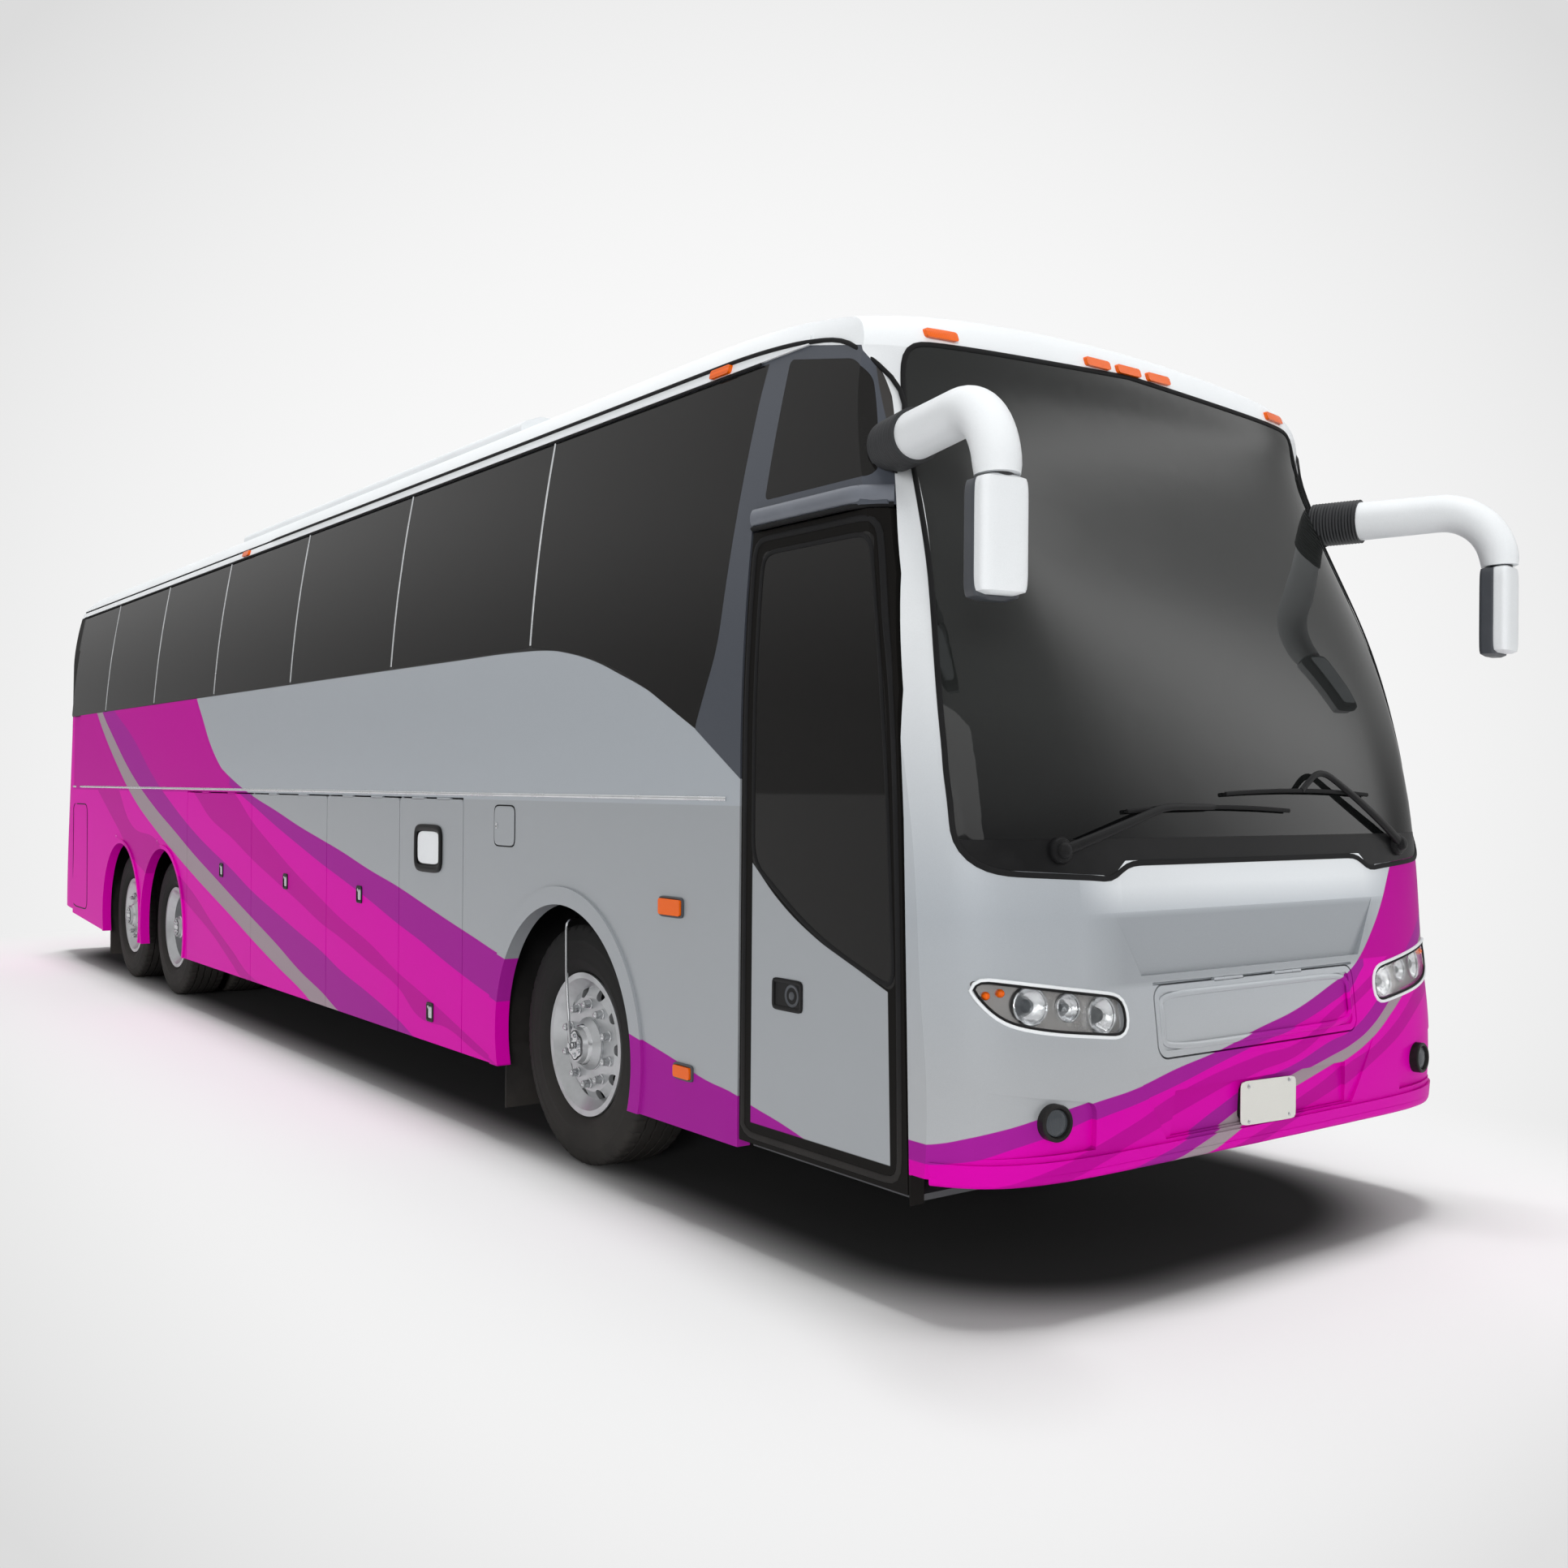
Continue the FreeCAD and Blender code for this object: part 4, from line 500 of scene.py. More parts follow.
def makeLens(name, colour, through):
    # Moulded lamp lens with fine vertical flutes
    material, shader, where, parts = newMaterial(name)
    flutes = place("ShaderNodeTexWave", {"Vector": where, "Scale": 60.0, "Distortion": 0.0}, 1,
                   bands_direction="Y")
    finish(shader, colour=blendTone(flutes, colour, dimmed(colour, 1.25)), roughness=0.12, through=through,
           ior=1.49, specular=0.25, normal=bump(flutes, 0.15, 0.001))
    return material


def makePlastic(name, colour, rough=0.5, scale=420.0, strength=0.25, metallic=0.0, dust=0.35, specular=0.5):
    material, shader, where, parts = newMaterial(name)
    height, wear = useGroup(grain, Place=where, Scale=scale)
    mask = useGroup(grime, Place=where, Amount=dust, Height=1.0)[0]
    worn = blendTone(mask, blendTone(wear, colour, dimmed(colour, 1.18, 0.004)), tone(104, 98, 92))
    finish(shader, colour=worn, roughness=blendValue(wear, rough, rough + 0.12), metallic=metallic,
           specular=specular, normal=bump(height, strength, 0.0008))
    return material


def makeMetal(name, colour, rough, metallic=1.0):
    material, shader, where, parts = newMaterial(name)
    patch = spread(noise(where, 9.0, 5.0, 0.6), 0.4, 0.8)
    mask = useGroup(grime, Place=where, Amount=0.22, Height=0.9)[0]
    worn = blendTone(mask, blendTone(patch, colour, dimmed(colour, 0.8)), tone(92, 86, 80))
    finish(shader, colour=worn, metallic=blendValue(mask, metallic, 0.3), roughness=linear(patch, 0.14, rough),
           normal=bump(noise(where, 650.0), 0.04, 0.0006))
    return material


materials = {
    "wall": makeWallPaint(),
    "nose": makeNosePaint(),
    "door": makeDoorPaint(),
    "roof": makePlainPaint("roofPaint", livery["white"], 0.9),
    "rear": makeRearPaint(),
    "mirror": makePlainPaint("mirrorPaint", livery["white"], 0.9),
    "plate": makePlainPaint("platePaint", tone(214, 214, 208), 1.0),
    "glass": makeGlass("tintedGlass", tone(33, 32, 31), 0.45, 0.06),
    "screen": makeGlass("screenGlass", tone(48, 50, 49), 0.55, 0.12, (1.42, 1.85)),
    "clear": makeGlass("clearLens", tone(245, 248, 250), 1.0, 0.5, alpha=0.2),
    "amber": makeLens("amberLens", tone(224, 94, 0), 0.15),
    "red": makeLens("redLens", tone(158, 4, 10), 0.12),
    "bulb": makeLens("bulbGlass", tone(70, 74, 78), 0.3),
    "trim": makeMetal("brightTrim", tone(226, 228, 230), 0.22),
    "chrome": makeMetal("chromeFittings", tone(206, 208, 210), 0.12),
    "mirrorGlass": makeMetal("mirrorGlass", tone(206, 212, 216), 0.03),
    "alloy": makeMetal("wheelAlloy", tone(188, 190, 192), 0.3, 0.8),
    "bowl": makeMetal("lampBowl", tone(168, 166, 164), 0.2, 0.6),
    "dish": makeMetal("lampDish", tone(240, 242, 244), 0.12, 0.9),
    "sleeve": makePlastic("ribbedSleeve", tone(38, 39, 41)),
    "rim": makePlastic("mirrorRim", tone(58, 61, 66), 0.4),
    "beam": makePlastic("beamPaint", tone(96, 100, 108), 0.4),
    "black": makePlastic("blackPlastic", tone(17, 17, 18), 0.38, specular=0.16),
    "grey": makePlastic("greyPlastic", tone(84, 88, 94)),
    "steel": makePlastic("frameSteel", tone(44, 45, 46), 0.55, 90.0, 0.1, 0.4),
    "cast": makePlastic("castBlock", tone(92, 94, 95), 0.6, 160.0, 0.5, 0.5),
    "rubber": makePlastic("softRubber", tone(20, 20, 21), 0.75, 300.0, 0.4, specular=0.25),
    "tyre": makePlastic("tyreRubber", tone(22, 22, 22), 0.78, 500.0, 0.35, 0.0, 0.22, 0.25),
    "floor": makePlastic("floorCover", tone(70, 72, 76), 0.8, 700.0, 0.4),
    "fabric": makePlastic("seatFabric", tone(46, 50, 84), 0.9, 900.0, 0.6),
}
nodesOfFinish = {
    "wall": "side_wall_right side_wall_left", "roof": "roof roof_fairing", "mirror": "mirrors",
    "nose": "front_panel front_bumper front_lid", "rear": "rear_panel engine_hatch", "door": "entrance_door",
    "screen": "windscreen", "glass": "side_glass door_glass", "bowl": "headlamps", "clear": "headlamp_lenses",
    "amber": "marker_lamps", "red": "tail_lamps", "rubber": "air_springs mud_flaps", "cast": "engine",
    "black": "cowl wipers wheel_housings dashboard steering_wheel", "floor": "floor_deck entrance_steps",
    "steel": "underframe axles door_arm tie_rod knuckle_left knuckle_right", "grey": "luggage_bays",
    "fabric": "seats",
}
nodeFinish = {name: finishName for finishName, names in nodesOfFinish.items() for name in names.split()}
for name, piece in nodes.items():
    if name.startswith("bay_door"):
        finishName = "wall"
    elif "_tyre_" in name:
        finishName = "tyre"
    elif "_rim_" in name:
        finishName = "alloy"
    else:
        finishName = nodeFinish[name]
    piece.data.materials.clear()
    piece.data.materials.append(materials[finishName])
print("finishes set on the frame")

# Shapes: every shell is a grid of points, rows of closed loops
def gridShell(grid, closeRows=False):
    # Quads between neighbouring points; open ends get a fan to the middle of their row
    rows, columns = grid.shape[:2]
    points = grid.reshape(-1, 3)
    row = np.arange(rows if closeRows else rows - 1)[:, None]
    column = np.arange(columns)[None, :]
    on, up = (column + 1) % columns, (row + 1) % rows
    quads = np.stack([row * columns + column, row * columns + on, up * columns + on, up * columns + column], -1)
    faces = quads.reshape(-1, 4)
    if not closeRows:
        points = np.vstack([points, grid[0].mean(0), grid[-1].mean(0)])
        loop = np.arange(columns)
        after = (loop + 1) % columns
        low, high = np.full(columns, rows * columns), np.full(columns, rows * columns + 1)
        last = (rows - 1) * columns
        faces = np.vstack([faces, np.stack([after, loop, low, low], 1),
                           np.stack([last + loop, last + after, high, high], 1)])
    a, b, c, d = (points[faces[:, i]] for i in range(4))
    volume = (np.cross(b, c) * a).sum() + (np.cross(c, d) * a).sum()
    return points, faces if volume > 0 else faces[:, ::-1]


def unit(vectors):
    return vectors / np.linalg.norm(vectors, axis=-1, keepdims=True)


def around(steps):
    return np.linspace(0, 2 * np.pi, steps, endpoint=False)


# The same shell at several places
def repeated(shell, places):
    points, faces = shell
    places = np.asarray(places, float)
    moved = (points[None] + places[:, None]).reshape(-1, 3)
    return moved, (faces[None] + np.arange(len(places))[:, None, None] * len(points)).reshape(-1, 4)


def mirroredShell(shell):
    return shell[0] * np.array([1, -1, 1]), shell[1][:, ::-1]


def onBoth(shells):
    return list(shells) + [mirroredShell(shell) for shell in shells]


# Section (across, outward) carried along a route; outward gives the up side at each point
def sweepShell(route, outward, section, closed=False, sizes=1.0):
    ahead = np.roll(route, -1, 0) - np.roll(route, 1, 0) if closed else np.gradient(route, axis=0)
    ahead = unit(ahead)
    outward = unit(outward - (outward * ahead).sum(1, keepdims=True) * ahead)
    across = np.cross(ahead, outward)
    scale = np.broadcast_to(sizes, len(route))[:, None, None]
    section = np.asarray(section, float)
    grid = (route[:, None] + across[:, None] * (section[None, :, :1] * scale)
            + outward[:, None] * (section[None, :, 1:] * scale))
    return gridShell(grid, closed)


# Profile of (along, radius) turned round an axis through the centre; a ring's profile is a closed loop
def turnShell(profile, centre, axis, steps=32, ring=False):
    axis = unit(np.asarray(axis, float))
    side = unit(np.cross(axis, [0.31, 0.45, 0.84]))
    angles = around(steps)
    circled = np.cos(angles)[:, None] * side + np.sin(angles)[:, None] * np.cross(axis, side)
    profile = np.asarray(profile, float)
    grid = np.asarray(centre) + profile[:, None, :1] * axis + profile[:, None, 1:] * circled[None]
    return gridShell(grid, ring)


# Rounded rectangle as a closed loop: a superellipse of half sizes a and b
def softBox(a, b, power=6.0, steps=48):
    c, s = np.cos(around(steps)), np.sin(around(steps))
    reach = (np.abs(c) ** power + np.abs(s) ** power) ** (-1 / power)
    return np.stack([a * c * reach, b * s * reach], 1)


# Loops of one outline, each drawn in by an inset and lifted to a height, then laid on a plane
def padShell(outline, levels, centre, right=(1, 0, 0), up=(0, 0, 1)):
    right, up = unit(np.asarray(right, float)), unit(np.asarray(up, float))
    out = np.cross(right, up)
    ahead = unit(np.roll(outline, -1, 0) - np.roll(outline, 1, 0))
    inward = np.stack([-ahead[:, 1], ahead[:, 0]], 1)
    rows = [outline + inward * inset for inset, height in levels]
    grid = np.stack([np.asarray(centre) + row[:, :1] * right + row[:, 1:] * up + height * out
                     for row, (inset, height) in zip(rows, levels)])
    return gridShell(grid)


# Levels of a pad: foot sunk in the skin, wall, soft edge, then the top drawn in
def softLevels(height, edge, sunk=0.004):
    return [(0.0, -sunk), (0.0, height - edge), (edge * 0.3, height - edge * 0.3), (edge, height),
            (edge * 3, height)]


def ringLevels(height, width, sunk=0.004):
    return [(0.0, -sunk), (0.0, height * 0.7), (width * 0.25, height), (width * 0.75, height),
            (width, height * 0.6), (width, 0.0006)]


# Low rounded ridge with its foot sunk into the surface
def ridge(width, height, sunk=0.003):
    angles = np.linspace(0, np.pi, 7)
    top = np.stack([np.cos(angles) * width / 2, np.sin(angles) * height], 1)
    return np.vstack([[width / 2, -sunk], top, [-width / 2, -sunk]])


def circle(radius, steps):
    return np.stack([np.cos(around(steps)), np.sin(around(steps))], 1) * radius


# Points along a polyline whose corners are rounded by parabolas, evenly spaced
def smoothRoute(corners, radii=0, gap=0.02, closed=False):
    corners = np.asarray(corners, float)
    count = len(corners)
    radii = np.broadcast_to(radii, count)
    share = np.linspace(0, 1, 9)[:, None]
    runs = []
    for i, corner in enumerate(corners):
        if not closed and i in (0, count - 1):
            runs.append(corner[None])
            continue
        back, on = corners[i - 1] - corner, corners[(i + 1) % count] - corner
        first, last = (corner + unit(leg) * min(radii[i], np.linalg.norm(leg) * 0.49) for leg in (back, on))
        runs.append(first * (1 - share) ** 2 + corner * 2 * share * (1 - share) + last * share ** 2)
    line = np.vstack(runs + ([runs[0][:1]] if closed else []))
    steps = np.append(0, np.cumsum(np.linalg.norm(np.diff(line, axis=0), axis=1)))
    keep = np.append(True, np.diff(steps) > 1e-7)
    line, steps = line[keep], steps[keep]
    wanted = np.linspace(0, steps[-1], max(4, int(steps[-1] / gap)) + 1)
    even = np.stack([np.interp(wanted, steps, line[:, i]) for i in range(line.shape[1])], 1)
    return even[:-1] if closed else even


def newObject(name, data):
    made = bpy.data.objects.new(name, data)
    bpy.context.scene.collection.objects.link(made)
    return made


# Mesh of four-cornered faces; one with a corner given twice becomes a triangle
def newMesh(name, points, faces):
    mesh = bpy.data.meshes.new(name)
    corners = [face[:3] if face[2] == face[3] else (face[1:] if face[0] == face[1] else face)
               for face in faces.tolist()]
    mesh.from_pydata(points.tolist(), [], corners)
    return mesh


def makePiece(name, shells, finishName, body="root", replaced=(), sharp=38):
    points, faces = zip(*shells)
    starts = np.append(0, np.cumsum([len(part) for part in points]))
    mesh = newMesh(name, np.vstack(points) + [axleX, 0, 0],
                   np.vstack([part + start for part, start in zip(faces, starts)]))
    mesh.shade_smooth()
    mesh.set_sharp_from_angle(angle=math.radians(sharp))
    mesh.materials.append(materials[finishName])
    piece = newObject(name, mesh)
    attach(piece, body)
    if replaced:
        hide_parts(*replaced)
    return piece


def meshPoints(mesh):
    points = np.empty(len(mesh.vertices) * 3)
    mesh.vertices.foreach_get("co", points)
    return points.reshape(-1, 3)


def searchTree(names):
    points, faces, start = [], [], 0
    for name in names:
        mesh = nodes[name].data
        corners = np.empty(len(mesh.loops), dtype=np.int32)
        mesh.loops.foreach_get("vertex_index", corners)
        points.append(meshPoints(mesh))
        faces.append(corners.reshape(-1, 3) + start)
        start += len(mesh.vertices)
    return BVHTree.FromPolygons(np.vstack(points).tolist(), np.vstack(faces).tolist(), all_triangles=True)


skinStarts = ("side_", "bay_door", "front_panel", "front_bumper", "front_lid", "rear_", "roof", "door_glass",
              "entrance_door", "windscreen", "engine_hatch", "cowl", "headlamp_lenses", "tail_lamps")
bodySkin = searchTree([name for name in nodes if name.startswith(skinStarts)])
# Direction of sight and the two coordinates that a route on that skin gives
skinViews = {"right": ((0, -1, 0), (0, 2)), "left": ((0, 1, 0), (0, 2)), "nose": ((1, 0, 0), (1, 2)),
             "tail": ((-1, 0, 0), (1, 2))}


sight = {"start": 15, "nudge": 0.009, "sameLevel": 0.02}


# Lay a route on the finished body: the outermost of five sights at each point, so that seams are bridged
def onSkin(route, view, lift=0.0, smooth=2):
    outwards, axes = skinViews[view]
    outwards = Vector(outwards)
    nudge = sight["nudge"]
    places, normals = [], []
    for first, second in route:
        found = []
        for a, b in ((0, 0), (nudge, 0), (-nudge, 0), (0, nudge), (0, -nudge)):
            start = outwards * sight["start"]
            start[axes[0]], start[axes[1]] = first + a, second + b
            start.x += axleX
            spot, normal, face, far = bodySkin.ray_cast(start, -outwards)
            if spot is not None and normal.dot(outwards) > 0.1:
                found.append((spot.dot(outwards), normal))
        if not found:
            continue
        depth = max(found, key=lambda item: item[0])[0]
        near = [normal for level, normal in found if level > depth - sight["sameLevel"]]
        spot = outwards * depth
        spot[axes[0]], spot[axes[1]] = first, second
        if axes[0] != 0:
            spot.x -= axleX
        places.append(tuple(spot))
        normals.append(tuple(sum(near, Vector()).normalized()))
    places, normals = evened(np.array(places), np.array(normals), smooth)
    return places + normals * lift, normals


def evened(places, normals, rounds):
    for _ in range(rounds):
        normals[1:-1] = unit(normals[:-2] + normals[1:-1] * 2 + normals[2:])
        places[1:-1] = places[1:-1] * 0.5 + (places[:-2] + places[2:]) * 0.25
    return places, normals


# Place and outward direction of one spot on the body
def spotOn(first, second, view="nose"):
    places, normals = onSkin([(first, second)], view, smooth=0)
    return places[0], normals[0]


# Section swept along a route laid on the body
def strip(route, view, section, closed=False, lift=0.0):
    places, normals = onSkin(route, view, lift)
    return sweepShell(places, normals, section, closed)


# Bright strip under the windows, dividers between the panes, gaskets along the roof edge
sideTrim = {"belt": 1.549, "beltWidth": 0.017, "beltProud": 0.006, "beltEnds": {"right": (-9.86, 1.19),
            "left": (-9.86, 2.12)}, "firstDivider": -0.355, "pitch": 1.563, "dividers": 6,
            "dividerSpan": (2.2, 3.098), "rail": 3.106, "railEnds": (-9.62, 1.2),
            "roofEdge": ((-9.7, 3.162), (1.25, 3.156), (1.83, 3.075), (1.935, 2.6)),
            "roofRadii": (0, 0.3, 0.3, 0)}


def makeSideTrim():
    gap = 0.05
    belt, dividers, gaskets = [], [], []
    for view in ("right", "left"):
        line = smoothRoute([(x, sideTrim["belt"]) for x in sideTrim["beltEnds"][view]], gap=0.12)
        belt.append(strip(line, view, ridge(sideTrim["beltWidth"], sideTrim["beltProud"])))
        for i in range(sideTrim["dividers"]):
            x = sideTrim["firstDivider"] - sideTrim["pitch"] * i
            line = smoothRoute([(x, z) for z in sideTrim["dividerSpan"]], gap=gap)
            dividers.append(strip(line, view, ridge(0.012, 0.004)))
        line = smoothRoute(sideTrim["roofEdge"], sideTrim["roofRadii"], gap)
        gaskets.append(strip(line, view, ridge(0.016, 0.006)))
        line = smoothRoute([(x, sideTrim["rail"]) for x in sideTrim["railEnds"]], gap=gap)
        gaskets.append(strip(line, view, ridge(0.01, 0.004)))
    makePiece("beltStrip", belt, "trim")
    makePiece("paneDividers", dividers, "trim")
    makePiece("roofGaskets", gaskets, "rubber")


# Small fittings on the flat lower side: latches, fuel flap, vent frame and the panel behind the wheels
skinY = -1.3
sideFittings = {"latches": {"right_1": (-4.772, 1.008), "right_2": (-3.481, 1.003), "right_3": (-2.286, 0.998),
                            "right_4": (-1.346, 0.482), "left_1": (-4.772, 1.008), "left_2": (-3.481, 1.003),
                            "left_3": (-2.286, 0.998)},
                "latchHalf": (0.04, 0.047), "flapMiddle": (-0.555, 1.41), "flapHalf": (0.098, 0.088),
                "lamps": ((0.838, 1.143, 0.074, 0.03), (0.931, 0.544, 0.055, 0.022)),
                "archLamps": ((-7.637, 1.149), (-6.378, 1.151)), "ventMiddle": (-1.381, 1.283),
                "ventHalf": (0.163, 0.114),
                "rearPanel": ((-9.53, 1.395), (-8.74, 1.395), (-8.72, 0.47), (-9.25, 0.47), (-9.53, 0.62)),
                "rearRadii": (0.05, 0.05, 0.05, 0.12, 0.12)}


# Soft box of half sizes a and b on that side; deep moves its plane inwards
def sidePad(x, z, a, b, power, levels, steps=48, deep=0.0):
    return padShell(softBox(a, b, power, steps), levels, (x, skinY + deep, z))


def sideKnob(x, z, steps, profile):
    return turnShell(profile, (x, skinY, z), (0, -1, 0), steps)


def makeLatches():
    a, b = sideFittings["latchHalf"]
    for number, (x, z) in sideFittings["latches"].items():
        shells = [sidePad(x, z, a, b, 8, ringLevels(0.006, 0.013)),
                  sidePad(x + 0.006, z, a * 0.55, b * 0.62, 7, softLevels(0.005, 0.003)),
                  sideKnob(x - 0.014, z + 0.024, 16,
                           [(-0.003, 0.0085), (0.006, 0.0085), (0.0075, 0.006), (0.0062, 0.0035)])]
        if number.startswith("left"):
            shells = [mirroredShell(shell) for shell in shells]
        makePiece("latchFrame_" + number, shells[:1], "black", "bay_door_" + number)
        makePiece("latchPaddle_" + number, shells[1:], "chrome", "bay_door_" + number)


def makeSideFittings():
    makeLatches()
    x, z = sideFittings["flapMiddle"]
    a, b = sideFittings["flapHalf"]
    makePiece("fuelFlap", [sidePad(x, z, a, b, 7, softLevels(0.004, 0.003))], "wall")
    makePiece("fuelFlapSeam", [sidePad(x, z, a + 0.006, b + 0.006, 7, ringLevels(0.0022, 0.006))], "rubber")
    makePiece("sideLampFrames", onBoth([sidePad(x, z, a + 0.009, b + 0.009, 7, ringLevels(0.009, 0.009))
                                        for x, z, a, b in sideFittings["lamps"]]), "rim")
    # Beam over the door and the rubber under it
    for name, end, level, section, finishName in (("headerBeam", 1.955, 2.53, ridge(0.062, 0.016), "beam"),
                                                  ("headerGasket", 1.958, 2.491, ridge(0.016, 0.012), "rubber")):
        line = smoothRoute([(1.3, level), (end, level)], gap=0.04)
        makePiece(name, [strip(line, "right", section)], finishName)
    makePiece("fuelFlapLock", [sideKnob(x - a * 0.72, z, 24,
                                        [(-0.002, 0.014), (0.007, 0.014), (0.009, 0.01), (0.0075, 0.005)])],
              "chrome")
    x, z = sideFittings["ventMiddle"]
    a, b = sideFittings["ventHalf"]
    arch = softBox(a, b, 5, 64)
    arch[arch[:, 1] < 0, 1] *= 1.06
    makePiece("ventFrame", [padShell(arch, ringLevels(0.012, 0.032), (x, skinY, z))], "black", "bay_door_right_4")
    makePiece("ventPanel", [sidePad(x, z, a - 0.034, b - 0.034, 5, softLevels(0.004, 0.003))], "mirror",
              "bay_door_right_4")
    makePiece("archLamps", onBoth([sidePad(x, z, 0.026, 0.017, 4, softLevels(0.012, 0.006), 24)
                                   for x, z in sideFittings["archLamps"]]), "clear")
    outline = smoothRoute(sideFittings["rearPanel"], sideFittings["rearRadii"], 0.04, True)
    makePiece("rearPanelEdge", [strip(outline, view, ridge(0.01, 0.0035), True) for view in ("right", "left")],
              "rubber")


# Black rubber round the door leaf and its pane, and the sunken handle
doorTrim = {"leaf": ((1.306, 0.392), (2.135, 0.392), (2.124, 0.94), (2.104, 1.5), (2.078, 1.892), (2.012, 2.22),
                     (1.944, 2.452), (1.306, 2.452)), "leafRadii": (0.03, 0.03, 0.3, 0.3, 0.3, 0.3, 0.04, 0.03),
            "pane": ((1.356, 1.335), (1.356, 2.4), (1.935, 2.4), (2.045, 1.85), (2.1, 0.972), (1.7, 1.105)),
            "paneRadii": (0.05, 0.03, 0.05, 0.5, 0.03, 0.7), "handle": (1.56, 0.8975)}


def makeDoorTrim():
    seals = []
    for name, width in (("leaf", 0.022), ("pane", 0.016)):
        line = smoothRoute(doorTrim[name], doorTrim[name + "Radii"], 0.03, True)
        seals.append(strip(line, "right", ridge(width, 0.005), True))
    makePiece("doorSeals", seals, "rubber", "door_leaf")
    x, z = doorTrim["handle"]
    frame = sidePad(x, z, 0.084, 0.054, 9, ringLevels(0.005, 0.014))
    knob = sideKnob(x + 0.024, z, 36, [(-0.02, 0.04), (-0.001, 0.04), (0.003, 0.036), (0.001, 0.029),
                                       (-0.004, 0.017), (0.003, 0.013), (0.004, 0.007)])
    grip = sidePad(x - 0.046, z, 0.018, 0.036, 6, softLevels(0.012, 0.005), 32, 0.016)
    makePiece("doorHandle", [frame, grip], "black", "door_leaf")
    makePiece("doorHandleKnob", [knob], "rim", "door_leaf")


# Rubber round the windscreen, the bead of the lid, the plate on its holder
noseTrim = {"screen": ((0, 3.112), (1.052, 3.06), (1.122, 2.48), (1.215, 1.98), (1.234, 1.56), (1.222, 1.345),
                       (0.735, 1.318), (0.7, 1.306), (0.63, 1.362), (0, 1.362)),
            "screenRadii": (0, 0.06, 0.5, 0.6, 0.6, 0.14, 0.02, 0.02, 0.03, 0),
            "lid": (0.508, 0.084, 0.86), "plate": (0.01, 0.556, 0.15, 0.0725)}


def makeNoseTrim():
    half = smoothRoute(noseTrim["screen"], noseTrim["screenRadii"], 0.03)
    line = np.vstack([half, half[-2:0:-1] * [-1, 1]])
    makePiece("screenSeal", [strip(line, "nose", ridge(0.018, 0.004), True)], "rubber")
    halfWidth, halfHeight, middle = noseTrim["lid"]
    line = softBox(halfWidth, halfHeight, 9, 120) + [0, middle]
    makePiece("lidBead", [strip(line, "nose", ridge(0.022, 0.0055), True)], "nose", "front_lid")
    y, z, a, b = noseTrim["plate"]
    spot, normal = spotOn(y, z)
    out = np.array([0.998, 0, 0.02])
    plane = ((0, 1, -0.03), (-0.02, 0.03, 1))
    makePiece("plateHolder", [padShell(softBox(a * 0.9, b * 0.8, 8), softLevels(0.022, 0.004), spot, *plane)],
              "black")
    makePiece("plate", [padShell(softBox(a, b, 12, 64), softLevels(0.004, 0.0015, 0.0), spot + out * 0.022,
                                 *plane)], "plate")
    makePiece("plateBolts", [turnShell([(0, 0.007), (0.003, 0.007), (0.0045, 0.004)],
                                       spot + out * 0.0255 + [0, dy, dz], out, 14)
                             for dy in (-0.11, 0.11) for dz in (-0.058, 0.058)], "chrome")


# Lower edge of the bumper, turned under along the whole width: nearest spots on the body to a rough route
def makeBumperLip():
    across = np.linspace(-1.285, 1.285, 120)
    rough = np.stack([2.6 - 0.36 * np.abs(across / 1.3) ** 5, across * 1.03, np.full(120, 0.437)], 1)
    found = [bodySkin.find_nearest(Vector(spot) + Vector((axleX, 0, 0))) for spot in rough]
    places = np.array([tuple(item[0]) for item in found]) - [axleX, 0, 0]
    normals = np.array([tuple(item[1]) for item in found])
    places, normals = evened(places, unit(normals * [1, 1, 0]), 6)
    section = [(0.0, 0.0015), (0.014, 0.001), (0.024, -0.004), (0.029, -0.014), (0.03, -0.03), (0.0, -0.03)]
    makePiece("bumperLip", [sweepShell(places, normals, section)], "nose")


# Rings, reflectors, bulbs and rims of the front lamps: profiles of (depth, share of the radius)
frontLamps = {"bowls": ((1.036, 0.944, 0.056), (0.898, 0.932, 0.042), (0.762, 0.901, 0.056)),
              "ambers": ((1.172, 0.978, 0.013), (1.13, 0.985, 0.013)), "fog": (0.982, 0.598, 0.05),
              "outline": ((1.214, 1.024), (0.681, 0.947), (0.676, 0.833), (1.099, 0.881), (1.181, 0.948)),
              "radii": (0.03, 0.04, 0.04, 0.25, 0.1)}
lampProfiles = {
    "ring": ((-0.006, 0.95), (0.003, 0.95), (0.005, 1.0), (0.003, 1.06), (-0.006, 1.06)),
    "dish": ((-0.003, 0.95), (-0.012, 0.8), (-0.02, 0.6), (-0.024, 0.4), (-0.026, 0.4), (-0.022, 0.62),
             (-0.014, 0.83), (-0.005, 0.97)),
    "bulb": ((-0.03, 0.4), (-0.022, 0.42), (-0.012, 0.36), (-0.006, 0.24), (-0.004, 0.08)),
    "amber": ((-0.012, 1.0), (0.0, 1.0), (0.008, 0.8), (0.012, 0.4)),
    "bezel": ((-0.03, 0.8), (-0.03, 1.12), (0.004, 1.12), (0.008, 1.04), (0.007, 0.9), (-0.008, 0.8)),
    "fogGlass": ((-0.03, 0.8), (-0.002, 0.8), (0.002, 0.6), (0.004, 0.3)),
    "dome": ((-0.004, 0.9), (0.002, 0.88), (0.007, 0.7), (0.01, 0.35)),
    "rim": ((-0.004, 0.86), (0.005, 0.88), (0.008, 0.97), (0.005, 1.08), (-0.004, 1.1)),
}


def lampPart(name, radius, centre, axis, steps, ring=False):
    return turnShell(np.array(lampProfiles[name]) * [1, radius], centre, axis, steps, ring)


